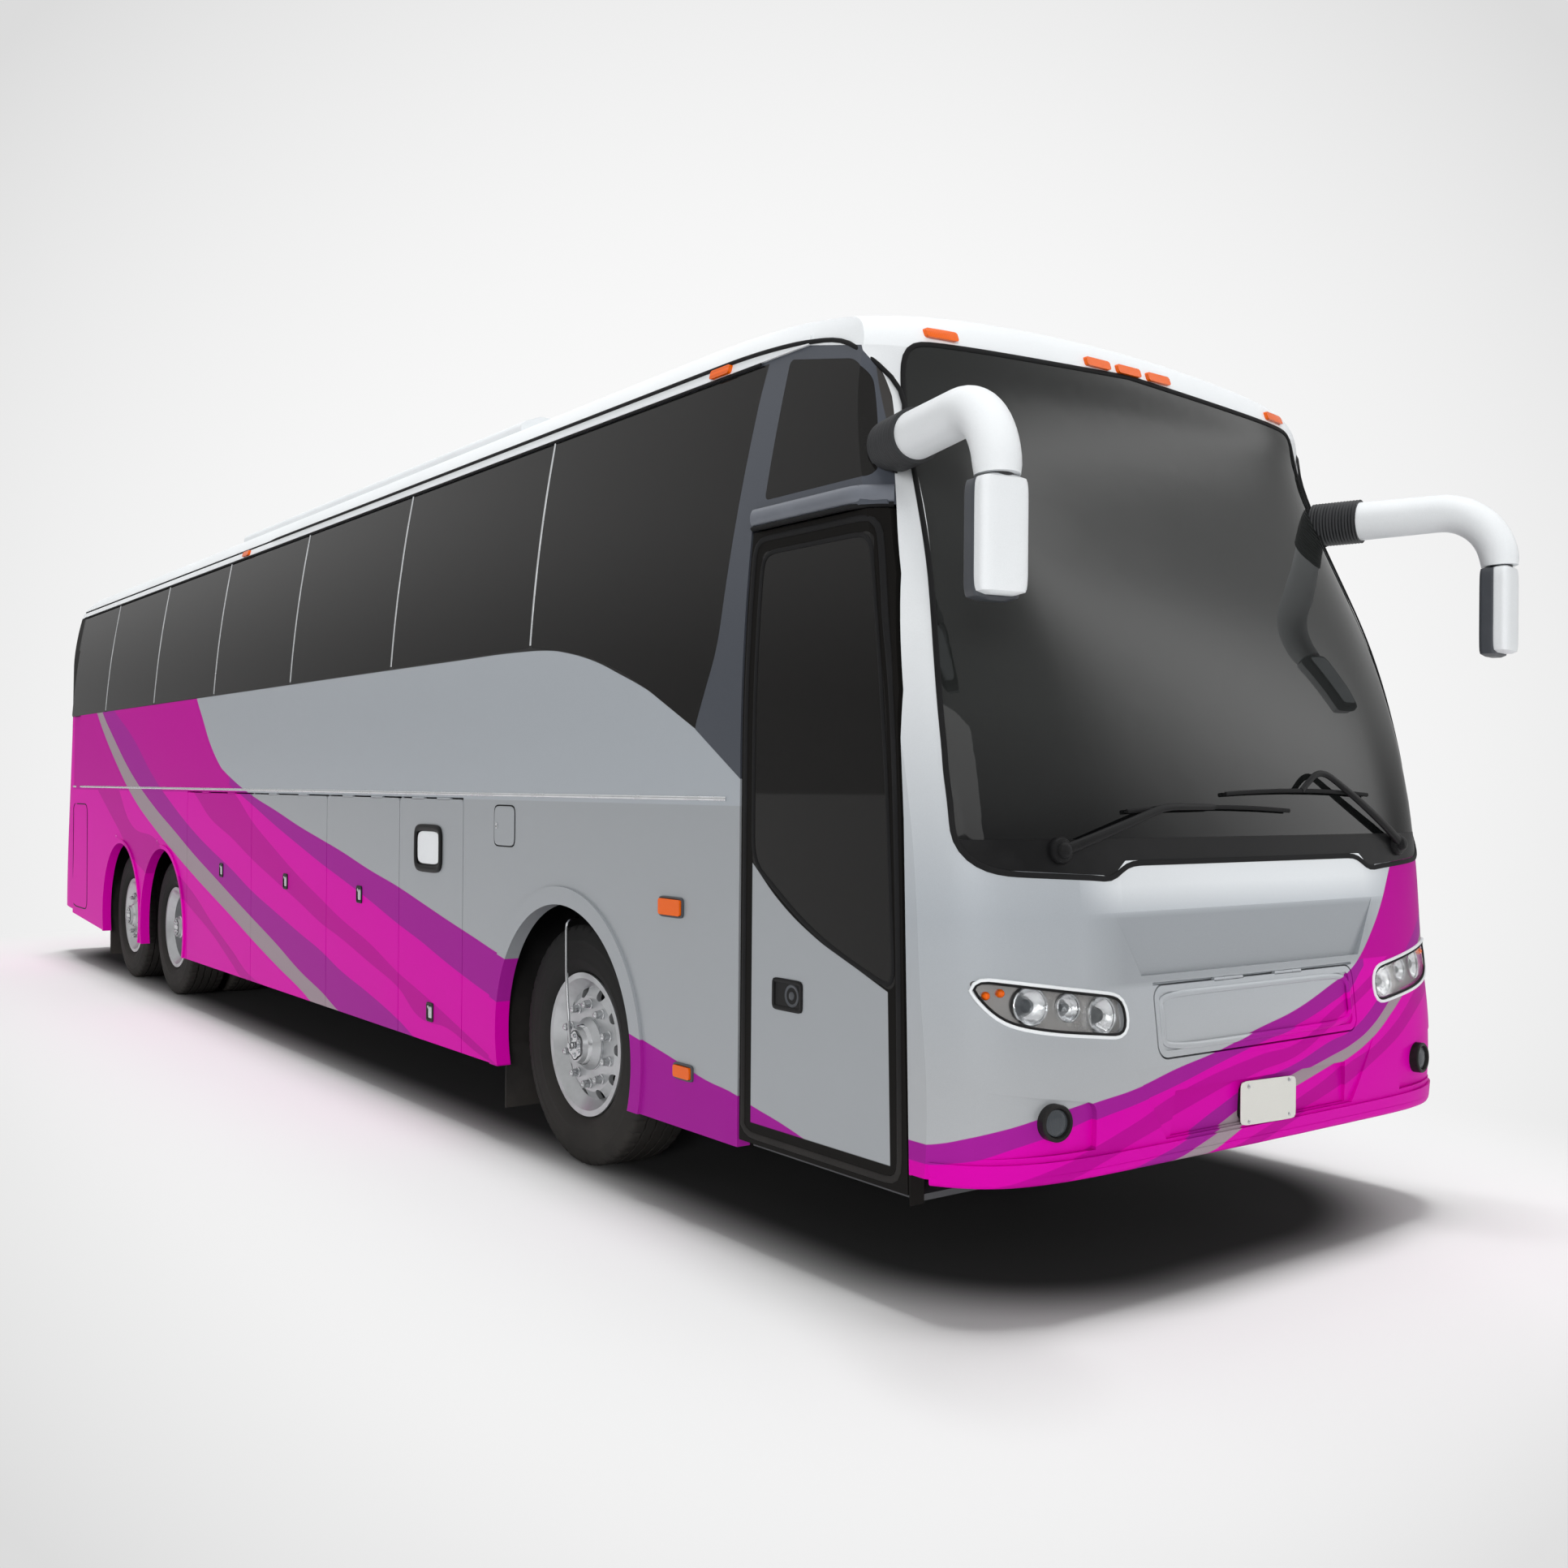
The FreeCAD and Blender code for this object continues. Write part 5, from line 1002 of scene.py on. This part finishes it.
def makeFrontLamps():
    parts = {name: [] for name in ("seals", "paintedHighlights", "rings", "dishes", "bulbs", "ambers", "bezels", "glasses")}
    for side in (-1, 1):
        for y, z, radius in frontLamps["bowls"]:
            spot, normal = spotOn(side * y, z)
            centre = spot - normal * 0.02
            parts["rings"].append(lampPart("ring", radius, centre, normal, 44, True))
            parts["dishes"].append(lampPart("dish", radius, centre, normal, 44, True))
            parts["bulbs"].append(lampPart("bulb", radius, centre, normal, 28))
        for y, z, radius in frontLamps["ambers"]:
            spot, normal = spotOn(side * y, z)
            parts["ambers"].append(lampPart("amber", radius, spot - normal * 0.016, normal, 24))
        outline = smoothRoute([(side * y, z) for y, z in frontLamps["outline"]], frontLamps["radii"], 0.02, True)
        parts["seals"].append(strip(outline, "nose", ridge(0.008, 0.003), True))
        # Painted highlight: a ridge in white paint round each lamp outline, for the bright edge of the bumper
        # catching the light
        ahead = unit(np.roll(outline, -1, 0) - np.roll(outline, 1, 0))
        turned = np.stack([ahead[:, 1], -ahead[:, 0]], 1)
        turned *= np.sign(((outline - outline.mean(0)) * turned).sum())
        parts["paintedHighlights"].append(strip(outline + turned * 0.0095, "nose", ridge(0.011, 0.006), True))
        y, z, radius = frontLamps["fog"]
        raised = radius * 1.25
        spot, normal = spotOn(side * y, z + raised)
        centre = spot - [0, 0, raised] + normal * 0.011
        parts["bezels"].append(lampPart("bezel", radius, centre, normal, 40, True))
        parts["glasses"].append(lampPart("fogGlass", radius, centre, normal, 32))
    for name, part, finishName in (("headlampSeals", "seals", "rubber"), ("bowlRings", "rings", "chrome"),
                                   ("lampDishes", "dishes", "dish"), ("paintedLampHighlights", "paintedHighlights", "mirror"),
                                   ("fogLenses", "glasses", "bulb"), ("bulbs", "bulbs", "bulb"),
                                   ("turnBulbs", "ambers", "amber"), ("fogBezels", "bezels", "black")):
        makePiece(name, parts[part], finishName)


# Rear end, guessed: domed lamps in rims, louvres on the hatch, rubber round the back pane and the bumper line
rearTrim = {"lampY": 1.085, "lamps": (0.87, 1.04, 1.21, 1.38), "radius": 0.062, "pane": (0.9, 0.35, 2.6),
            "louvres": (0.76, 0.052, 9), "louvreHalf": 0.62, "line": 0.585, "lineHalf": 1.2}


def makeRearTrim():
    spots = [spotOn(-rearTrim["lampY"], z, "tail") for z in rearTrim["lamps"]]
    for name, part, finishName, ring in (("tailDomes", "dome", "red", False), ("tailRims", "rim", "rim", True)):
        makePiece(name, onBoth([lampPart(part, rearTrim["radius"], spot, normal, 32, ring)
                                for spot, normal in spots]), finishName)
    low, pitch, count = rearTrim["louvres"]
    across = np.linspace(-1, 1, 30) * rearTrim["louvreHalf"]
    slats = [strip(np.stack([across, np.full(30, low + pitch * i)], 1), "tail", ridge(0.03, 0.0042))
             for i in range(count)]
    makePiece("hatchLouvres", slats, "black", "engine_hatch")
    halfWidth, halfHeight, middle = rearTrim["pane"]
    line = softBox(halfWidth, halfHeight, 9, 120) + [0, middle]
    makePiece("backSeal", [strip(line, "tail", ridge(0.02, 0.005), True)], "rubber")
    line = np.stack([np.linspace(-1, 1, 60) * rearTrim["lineHalf"], np.full(60, rearTrim["line"])], 1)
    makePiece("rearLine", [strip(line, "tail", ridge(0.014, 0.003), lift=-0.0025)], "rubber")


# Wipers: two bent arms with slim blades on the lower edge of the windscreen
wiperSet = {"lines": (((-0.91, 1.405), (-0.46, 1.535), (-0.2, 1.535)),
                      ((0.911, 1.398), (0.42, 1.67), (0.3, 1.592))),
            "half": 0.42, "armWidth": 0.03,
            "pivot": ((-0.015, 0.042), (0.01, 0.042), (0.018, 0.036), (0.02, 0.026), (0.03, 0.024),
                      (0.036, 0.018), (0.038, 0.01)),
            "blade": ((-0.0035, -0.004), (0.0035, -0.004), (0.0025, 0.006), (-0.0025, 0.006))}


def makeWipers():
    arms, blades, pivots = [], [], []
    span = np.linspace(-1, 1, 25)
    for corners in wiperSet["lines"]:
        places, normals = onSkin(smoothRoute(corners, (0, 0.06, 0)), "nose")
        along = np.linspace(0, 1, len(places))
        lift = (0.02 + 0.012 * np.sin(along * np.pi))[:, None]
        arms.append(sweepShell(places + normals * lift, normals, ridge(wiperSet["armWidth"], 0.009, 0.006),
                               sizes=1.15 - 0.5 * along))
        middle = corners[2]
        line = np.stack([span * wiperSet["half"] + middle[0], middle[1] - 0.012 * span ** 2], 1)
        places, normals = onSkin(line, "nose")
        bow = (0.019 - 0.007 * span ** 2)[:, None]
        blades.append(sweepShell(places + normals * 0.005, normals, wiperSet["blade"]))
        blades.append(sweepShell(places + normals * bow, normals, ridge(0.014, 0.005, 0.003)))
        pivots.append(turnShell(wiperSet["pivot"], *spotOn(*corners[0])))
    makePiece("wiperArms", arms + pivots, "black", replaced=("wipers",))
    makePiece("wiperBlades", blades, "rubber")


# Mirrors: ribbed sleeve, arm bent down a quarter turn, and a head with a dark rear frame
mirrorSet = {"base": (1.89, 1.15, 2.69), "turn": (2.575, 1.345, 2.69), "bend": 0.225, "sleeve": 0.19,
             "sleeveRadius": 0.086, "radii": (0.079, 0.0695), "head": (0.053, 0.08), "headSpan": (2.118, 2.462),
             "headTurn": 10.0}


# Upright soft block: loops over height, drawn in at both ends
def headShell(centre, halves, span, turn=0.0, power=4.0):
    rise = np.linspace(-1, 1, 25)
    rise = np.sign(rise) * np.abs(rise) ** 0.6
    draw = (1 - np.abs(rise) ** 9 * 0.999) ** (1 / 6)
    loop = softBox(halves[0], halves[1], power, 56)
    c, s = math.cos(turn), math.sin(turn)
    loop = np.stack([loop[:, 0] * c - loop[:, 1] * s, loop[:, 0] * s + loop[:, 1] * c], 1)
    middle, half = (span[0] + span[1]) / 2, (span[1] - span[0]) / 2
    grid = np.zeros((len(rise), len(loop), 3))
    grid[..., :2] = loop[None] * (0.8 + 0.2 * draw[:, None, None]) * draw[:, None, None] ** 0.35 + centre[:2]
    grid[..., 2] = middle + half * rise[:, None]
    return gridShell(grid)


def makeMirrors():
    base, turn = np.array(mirrorSet["base"]), np.array(mirrorSet["turn"])
    along = unit(turn - base)
    bend = mirrorSet["bend"]
    straight = np.linalg.norm(turn - base) - bend
    distance = np.linspace(0, straight, 26)[:, None]
    angle = np.linspace(0, math.pi / 2, 16)[1:, None]
    drop = [0, 0, 1] * (bend * (1 - np.cos(angle)))
    route = np.vstack([base + along * distance, base + along * (straight + bend * np.sin(angle)) - drop])
    side = np.cross(along, [0, 0, 1])[None]
    sizes = np.linspace(*mirrorSet["radii"], len(route))
    sizes[-2:] *= (0.985, 0.94)
    arm = sweepShell(route[7:], side, circle(1.0, 40), sizes=sizes[7:])
    ribs = np.linspace(0.005, mirrorSet["sleeve"], 110)
    radius = mirrorSet["sleeveRadius"] + 0.0022 * np.sin(ribs * 2 * math.pi / 0.0125)
    sleeve = sweepShell(base + along * ribs[:, None], side, circle(1.0, 36), sizes=radius)
    angle = math.radians(mirrorSet["headTurn"])
    ahead = np.array([math.cos(angle), math.sin(angle), 0])
    across = np.array([-math.sin(angle), math.cos(angle), 0])
    centre = np.array([turn[0], turn[1], 0])
    depth, width = mirrorSet["head"]
    low, high = mirrorSet["headSpan"]
    cover = headShell(centre + ahead * 0.02, (depth - 0.02, width), (low + 0.012, high), angle)
    rim = headShell(centre - ahead * 0.022, (depth - 0.022, width + 0.0015), (low - 0.001, high - 0.002), angle,
                    7.0)
    neck = turnShell([(-0.02, 0.045), (0.004, 0.045), (0.012, 0.05), (0.02, 0.044)],
                     (turn[0], turn[1], high), (0, 0, 1), 30)
    face = centre - ahead * (depth - 0.0015) + [0, 0, (low + high) / 2]
    mirror = padShell(softBox(width * 0.82, (high - low) * 0.44, 7, 60), softLevels(0.002, 0.001), face, -across)
    makePiece("mirrorArms", onBoth([arm, cover]), "mirror", replaced=("mirrors",))
    makePiece("mirrorSleeves", onBoth([sleeve, neck]), "sleeve")
    makePiece("mirrorRims", onBoth([rim]), "rim")
    makePiece("mirrorFaces", onBoth([mirror]), "mirrorGlass")


# Tyres: section turned round the axle, with four grooves, shoulder lugs and rings on the walls
tyreSet = {"centre": 1.075, "twin": 0.745, "radius": 0.505, "height": 0.505, "around": 288, "lugs": 48,
           "grooves": (-0.075, -0.026, 0.026, 0.075), "grooveHalf": 0.005, "grooveDepth": 0.012,
           "wall": ((0.096, 0.2885), (0.1035, 0.292), (0.108, 0.3), (0.117, 0.309), (0.13, 0.322),
                    (0.1385, 0.338), (0.1425, 0.352), (0.1442, 0.356), (0.1442, 0.36), (0.1436, 0.364),
                    (0.145, 0.38), (0.1452, 0.398), (0.1448, 0.415), (0.143, 0.43), (0.1444, 0.434),
                    (0.1438, 0.438), (0.1405, 0.45), (0.136, 0.466), (0.1325, 0.478), (0.1295, 0.488),
                    (0.124, 0.496), (0.115, 0.5015))}


def tyreShell(x, y):
    wall = np.array(tyreSet["wall"])
    half, deep = tyreSet["grooveHalf"], tyreSet["grooveDepth"]
    tread = [(-0.1, 0)]
    for groove in tyreSet["grooves"]:
        tread += [(groove - half, 0), (groove - half * 0.7, deep), (groove + half * 0.7, deep), (groove + half, 0)]
    tread = np.array(tread + [(0.1, 0)])
    crown = tyreSet["radius"] - 0.0035 * (tread[:, 0] / 0.115) ** 2 - tread[:, 1]
    section = np.vstack([wall * [-1, 1], np.stack([tread[:, 0], crown], 1), wall[::-1]])
    steps, lugs = tyreSet["around"], tyreSet["lugs"]
    angles = around(steps)[:, None]
    across, out = section[None, :, 0], np.tile(section[:, 1], (steps, 1))
    notch = (np.arange(steps)[:, None] * lugs % steps < lugs) & (np.abs(across) > 0.084) & (section[:, 1] > 0.48)
    out = out - notch * 0.009
    zigzag = 0.0016 * np.sign(np.sin(angles * lugs)) * (np.abs(across) < 0.083)
    grid = np.stack([x + out * np.cos(angles), y + across + zigzag, tyreSet["height"] + out * np.sin(angles)], -1)
    return gridShell(grid, True)


# Chrome of the hubs: nut covers and a stepped hub cover with a six-sided plate
hubSet = {"disc": {"single": 0.092, "dual": -0.06}, "nose": {"single": 0.165, "dual": 0.121},
          # Count, radius of the circle, turn in steps, segments, and the profile of (along, radius)
          "nut": (10, 0.1675, 0.5, 12, ((0.0, 0.0215), (0.006, 0.0215), (0.008, 0.0175), (0.03, 0.016),
                                        (0.038, 0.013), (0.0425, 0.007))),
          "bolt": (6, 0.04, 1.5, 12, ((0.0, 0.009), (0.008, 0.009), (0.01, 0.006))),
          "small": (10, 0.102, 0.0, 10, ((0.0, 0.007), (0.006, 0.007), (0.0075, 0.0045)))}


def wheelChrome(x, side, disc, nose):
    axle = (0, side, 0)
    base, height = tyreSet["centre"] * side, tyreSet["height"]

    def fasteners(kind, level):
        count, radius, turn, steps, profile = hubSet[kind]
        angles = (np.arange(count) + turn) * 2 * np.pi / count
        spots = np.stack([x + radius * np.cos(angles), np.full(count, base + side * level),
                          height + radius * np.sin(angles)], 1)
        return repeated(turnShell(profile, (0, 0, 0), axle, steps), spots)

    cover = [(disc - 0.004, 0.112), (disc + 0.006, 0.112), (disc + 0.01, 0.1), (disc + 0.03, 0.092),
             (nose - 0.026, 0.084), (nose - 0.016, 0.074), (nose - 0.012, 0.06), (nose - 0.003, 0.056),
             (nose, 0.05), (nose - 0.0015, 0.02)]
    lobes = around(48)
    reach = 0.053 + 0.004 * np.cos(6 * lobes)
    plate = np.stack([reach * np.sin(lobes), reach * np.cos(lobes)], 1)
    return [fasteners("nut", disc), turnShell(cover, (x, base, height), axle, 48),
            padShell(plate, softLevels(0.006, 0.002), (x, base + side * (nose - 0.002), height), (-side, 0, 0)),
            fasteners("bolt", nose + 0.001), fasteners("small", disc + 0.008)]


# Air pipe of a front wheel: from over the tyre down its face to the turning joint on the hub
airPipe = {"bends": ((-0.075, 1.19, 1.032), (-0.075, 1.245, 1.02), (-0.058, 1.252, 0.76), (-0.012, 1.266, 0.62),
                     (0.0, 1.264, 0.505)), "radii": (0, 0.03, 0.12, 0.1, 0), "radius": 0.0065,
           "joint": ((0.0, 0.015), (0.012, 0.015), (0.016, 0.012), (0.026, 0.011)), "jointY": 1.2465}


def makeAirPipes():
    for sideName, side in (("right", -1), ("left", 1)):
        route = smoothRoute(np.array(airPipe["bends"]) * [1, side, 1], airPipe["radii"], 0.015)
        pipe = sweepShell(route, np.array([[1.0, 0.0, 0.0]]), circle(airPipe["radius"], 14))
        joint = turnShell(airPipe["joint"], (0, side * airPipe["jointY"], tyreSet["height"]), (0, side, 0), 20)
        makePiece("airPipe_" + sideName, [pipe, joint], "chrome", "knuckle_" + sideName)


def makeWheels():
    for axle, x, kind in (("front", 0.0, "single"), ("drive", -6.25, "dual"), ("tag", -7.5, "single")):
        centres = (tyreSet["centre"], tyreSet["twin"]) if kind == "dual" else (tyreSet["centre"],)
        for sideName, side in (("right", -1), ("left", 1)):
            body = "%s_wheel_%s" % (axle, sideName)
            makePiece("tyre_%s_%s" % (axle, sideName), [tyreShell(x, side * y) for y in centres], "tyre", body,
                      ("%s_tyre_%s" % (axle, sideName),))
            makePiece("hub_%s_%s" % (axle, sideName),
                      wheelChrome(x, side, hubSet["disc"][kind], hubSet["nose"][kind]), "chrome", body)


makeSideTrim()
makeSideFittings()
makeDoorTrim()
makeNoseTrim()
makeBumperLip()
makeFrontLamps()
makeRearTrim()
makeWipers()
makeMirrors()
print("body trim, lamps, wipers and mirrors made")
makeWheels()
makeAirPipes()
print("wheels made")


# Padded seats: one seat is blown up as cloth, then set out in pairs and behind the steering wheel
seatSet = {"rows": 12, "firstX": 0.12, "pitch": 0.83, "middles": (0.505, 0.955), "legs": (0.42, 1.04),
           "base": 1.835, "deck": 1.505, "driver": (1.08, 0.64, 1.305), "lean": -0.21, "voxel": 0.02,
           "pressure": 4.0, "frames": 20, "cap": 0.026,
           # Middle, half sizes, span of heights and share of the lean: cushion, back, head rest
           "parts": (((0.222, 0.0), (0.2, 0.195), (0.012, 0.1), 0.0),
                     ((-0.005, 0.0), (0.034, 0.19), (0.05, 0.52), 1.0),
                     ((-0.004, 0.0), (0.03, 0.13), (0.56, 0.69), 1.0))}


def cushionStart():
    points, faces, start = [], [], 0
    for middle, halves, span, leans in seatSet["parts"]:
        partPoints, partFaces = headShell(np.array(middle), halves, span)
        partPoints[:, 0] += (partPoints[:, 2] - 0.05) * seatSet["lean"] * leans
        points.append(partPoints)
        faces.append(partFaces + start)
        start += len(partPoints)
    return np.vstack(points), np.vstack(faces)


def evaluated(piece):
    return bpy.data.meshes.new_from_object(piece.evaluated_get(bpy.context.evaluated_depsgraph_get()))


def blownSeat():
    # Voxel remesh, then cloth pressure without gravity; no point may move further than the cap
    start = newObject("seatStart", newMesh("seatStart", *cushionStart()))
    remesh = start.modifiers.new("remesh", "REMESH")
    remesh.mode, remesh.voxel_size = "VOXEL", seatSet["voxel"]
    grid = evaluated(start)
    start.modifiers.clear()
    start.data = grid
    blown = rest = meshPoints(grid)
    cloth = start.modifiers.new("cloth", "CLOTH").settings
    cloth.quality = 5
    cloth.use_pressure = True
    cloth.uniform_pressure_force = seatSet["pressure"]
    cloth.effector_weights.gravity = 0.0
    for number in range(1, seatSet["frames"] + 1):
        bpy.context.scene.frame_set(number)
    moved = meshPoints(evaluated(start)) - rest
    far = np.linalg.norm(moved, axis=1, keepdims=True)
    blown = rest + moved * np.minimum(1.0, seatSet["cap"] / np.maximum(far, 1e-9))
    bpy.context.scene.frame_set(1)
    quads = np.array([tuple(face.vertices) for face in grid.polygons if len(face.vertices) == 4])
    bpy.data.objects.remove(start)
    return blown, quads


def makeSeats():
    seat = blownSeat()
    rows = seatSet["firstX"] - seatSet["pitch"] * np.arange(seatSet["rows"])
    leg = padShell(softBox(0.02, 0.13, 6, 24), [(0.0, 0.0), (0.0, 0.318), (0.004, 0.325)], (0.22, 0, 0), (1, 0, 0),
                   (0, 1, 0))
    for side, name in ((-1, "Right"), (1, "Left")):
        places = [(x, side * y, seatSet["base"]) for x in rows for y in seatSet["middles"]]
        padded = makePiece("seats" + name, [repeated(seat, places)], "fabric", replaced=("seats",), sharp=80)
        legs = [(x, side * y, seatSet["deck"]) for x in rows for y in seatSet["legs"]]
        makePiece("seatLegs" + name, [repeated(leg, legs)], "steel")
    driver = makePiece("driverSeat", [repeated(seat, [seatSet["driver"]])], "fabric", sharp=80)


makeSeats()
print("seats blown up and set out")


# Floor, backdrop, light and camera; the middle and halves are those of the coach's footprint; dark and corner set
# the painted shadow on the floor under it
lens = {"spot": (5.603, -4.329, 1.589), "yaw": 143.36, "pitch": 0.1535, "roll": -0.4848, "focal": 1864.06,
        "frame": 1932, "sensor": 36}
studio = {"centre": 0.965, "fall": 0.249, "least": 0.716, "spread": 1.985, "power": 1.35, "sky": 0.32,
          "glow": 1.7, "glowAt": 60.0, "glowWide": 8.5, "ground": 0.8, "dark": 0.06, "corner": 0.95,
          "middle": (-3.72, 0.0), "halves": (6.3, 1.3), "near": 0.25, "far": 1.9, "reach": 400}


def lensAhead():
    yaw, pitch = math.radians(lens["yaw"]), math.radians(lens["pitch"])
    return math.cos(yaw) * math.cos(pitch), math.sin(yaw) * math.cos(pitch), math.sin(pitch)


def makeBackdropLevel():
    # Brightness of the backdrop in one direction: brightest ahead of the lens, falling off all round
    given, close = newGroup("backdropLevel", {"Direction": "Vector"}, {"Level": "Float"})
    facing = calc("MAXIMUM", vectorMath("DOT_PRODUCT", {0: given["Direction"], 1: lensAhead()}, "Value"), 0.3)
    wide = ((1.0 / (facing * facing) - 1.0) * studio["spread"]) ** studio["power"]
    return close(Level=calc("MAXIMUM", linear(wide, -studio["fall"], studio["centre"]), studio["least"]))


backdropLevel = makeBackdropLevel()


# 1 for rays that show the backdrop: straight to the lens, off metal, or through glass
def seenRays(rays):
    seen = calc("MAXIMUM", Wire(rays["Is Camera Ray"]), Wire(rays["Is Glossy Ray"]))
    return calc("MAXIMUM", seen, Wire(rays["Is Transmission Ray"]))


# How far a place lies outside the footprint drawn in by a margin
def pastFootprint(x, y, margin):
    middleX, middleY = studio["middle"]
    halfX, halfY = studio["halves"]
    pastX = calc("MAXIMUM", abs(x - middleX) - (halfX - margin), 0.0)
    pastY = calc("MAXIMUM", abs(y - middleY) - (halfY - margin), 0.0)
    return calc("SQRT", pastX * pastX + pastY * pastY)


def makeFloor():
    # Flat disc: lit ground with the coach's cast shadow and a painted shadow darkening it under the footprint, the
    # plain backdrop beyond
    points = np.hstack([circle(studio["reach"], 96), np.zeros((96, 1))])
    mesh = bpy.data.meshes.new("studioFloor")
    mesh.from_pydata(points.tolist(), [], [list(range(96))])
    floor = newObject("studioFloor", mesh)
    material = bpy.data.materials.new("paleFloor")
    tree, surface = emptyTree(material, "ShaderNodeOutputMaterial")
    where = surveyed(tree)
    x, y, z = split(where)
    ray = vectorMath("NORMALIZE", {0: vectorMath("SUBTRACT", {0: where, 1: lens["spot"]})})
    level = useGroup(backdropLevel, Direction=ray)[0]
    # Painted shadow: the ground's tone falls to dark inside the footprint, with rounded corners
    paintedShadowMask = spread(studio["corner"] - pastFootprint(x, y, studio["corner"]), -0.14, 0.3, kind="SMOOTHSTEP")
    tint = blendTone(paintedShadowMask, (studio["ground"],) * 3 + (1.0,), (studio["dark"],) * 3 + (1.0,))
    ground = place("ShaderNodeBsdfDiffuse", {"Color": tint})
    plain = place("ShaderNodeEmission", {"Color": (1, 1, 1, 1), "Strength": level})
    share = spread(pastFootprint(x, y, 0.0), studio["near"], studio["far"], kind="SMOOTHSTEP")
    rays = tree.nodes.new("ShaderNodeLightPath").outputs
    feed(surface, place("ShaderNodeMixShader", {0: share * seenRays(rays), 1: ground, 2: plain}))
    mesh.materials.append(material)


def makeWorld():
    world = bpy.data.worlds.new("studioSky")
    bpy.context.scene.world = world
    tree, surface = emptyTree(world, "ShaderNodeOutputWorld")
    direction = place("ShaderNodeTexCoord", output="Generated", tree=tree)
    level = useGroup(backdropLevel, Direction=direction)[0]
    # Metal and glass see the sky dimmer near the horizon, and an upright glow to the left of the nose
    wayX, wayY, wayZ = split(direction)
    high = spread(wayZ, 0.08, 0.32, 0.45, 1.0, kind="SMOOTHSTEP")
    angle = calc("ARCTAN2", wayY, wayX) - math.radians(studio["glowAt"])
    bell = calc("EXPONENT", (angle / math.radians(studio["glowWide"])) ** 2.0 * -1.0)
    rays = tree.nodes.new("ShaderNodeLightPath").outputs
    level = blendValue(Wire(rays["Is Glossy Ray"]), level, linear(bell, studio["glow"], level * high))
    sky, plain = (place("ShaderNodeBackground", {"Color": (1, 1, 1, 1), "Strength": strength}, tree=tree)
                  for strength in (studio["sky"], level))
    feed(surface, place("ShaderNodeMixShader", {0: seenRays(rays), 1: sky, 2: plain}))


def addLamp(name, kind, spot, target, energy):
    lamp = newObject(name, bpy.data.lights.new(name, kind))
    lamp.data.energy = energy
    lamp.location = Vector(spot) + Vector((axleX, 0, 0))
    lamp.rotation_euler = (Vector(target) - Vector(spot)).to_track_quat("-Z", "Y").to_euler()
    return lamp


def softbox(name, spot, target, size, watts):
    lamp = addLamp(name, "AREA", spot, target, watts)
    lamp.data.shape = "RECTANGLE"
    lamp.data.size, lamp.data.size_y = size


# Even light from one direction, kept out of reflections
def evenLight(name, direction, wide, strength):
    lamp = addLamp(name, "SUN", direction, (0, 0, 0), strength)
    lamp.data.angle = math.radians(wide)
    lamp.visible_glossy = False


def makeCamera():
    # Fitted to the photograph: place, yaw, pitch and roll of the lens
    yaw, roll = math.radians(lens["yaw"]), math.radians(lens["roll"])
    ahead = Vector(lensAhead())
    right = Vector((math.sin(yaw), -math.cos(yaw), 0))
    down = ahead.cross(right)
    across = right * math.cos(roll) + down * math.sin(roll)
    under = down * math.cos(roll) - right * math.sin(roll)
    data = bpy.data.cameras.new("coachCamera")
    data.sensor_width = lens["sensor"]
    data.lens = lens["focal"] / lens["frame"] * lens["sensor"]
    data.clip_start, data.clip_end = 0.05, 1000
    camera = newObject("coachCamera", data)
    turn = Matrix((across, -under, -ahead)).transposed().to_4x4()
    camera.matrix_world = Matrix.Translation(Vector(lens["spot"]) + Vector((axleX, 0, 0))) @ turn
    bpy.context.scene.camera = camera


makeFloor()
makeWorld()
evenLight("overheadLight", (-0.06, 0.04, 1.0), 14, 1.75)
evenLight("sideLight", (0.72, -0.66, 0.17), 16, 1.6)
evenLight("fillLight", (-0.7, 0.68, 0.2), 16, 1.1)
softbox("overheadBox", (-2.7, 0.0, 9.0), (-2.7, 0, 0), (15, 7), 260)
softbox("frontBox", (9.5, -5.0, 4.5), (2.0, 0, 1.5), (4, 3), 60)
makeCamera()
bpy.context.scene.view_settings.view_transform = "Standard"
print("studio and camera placed")
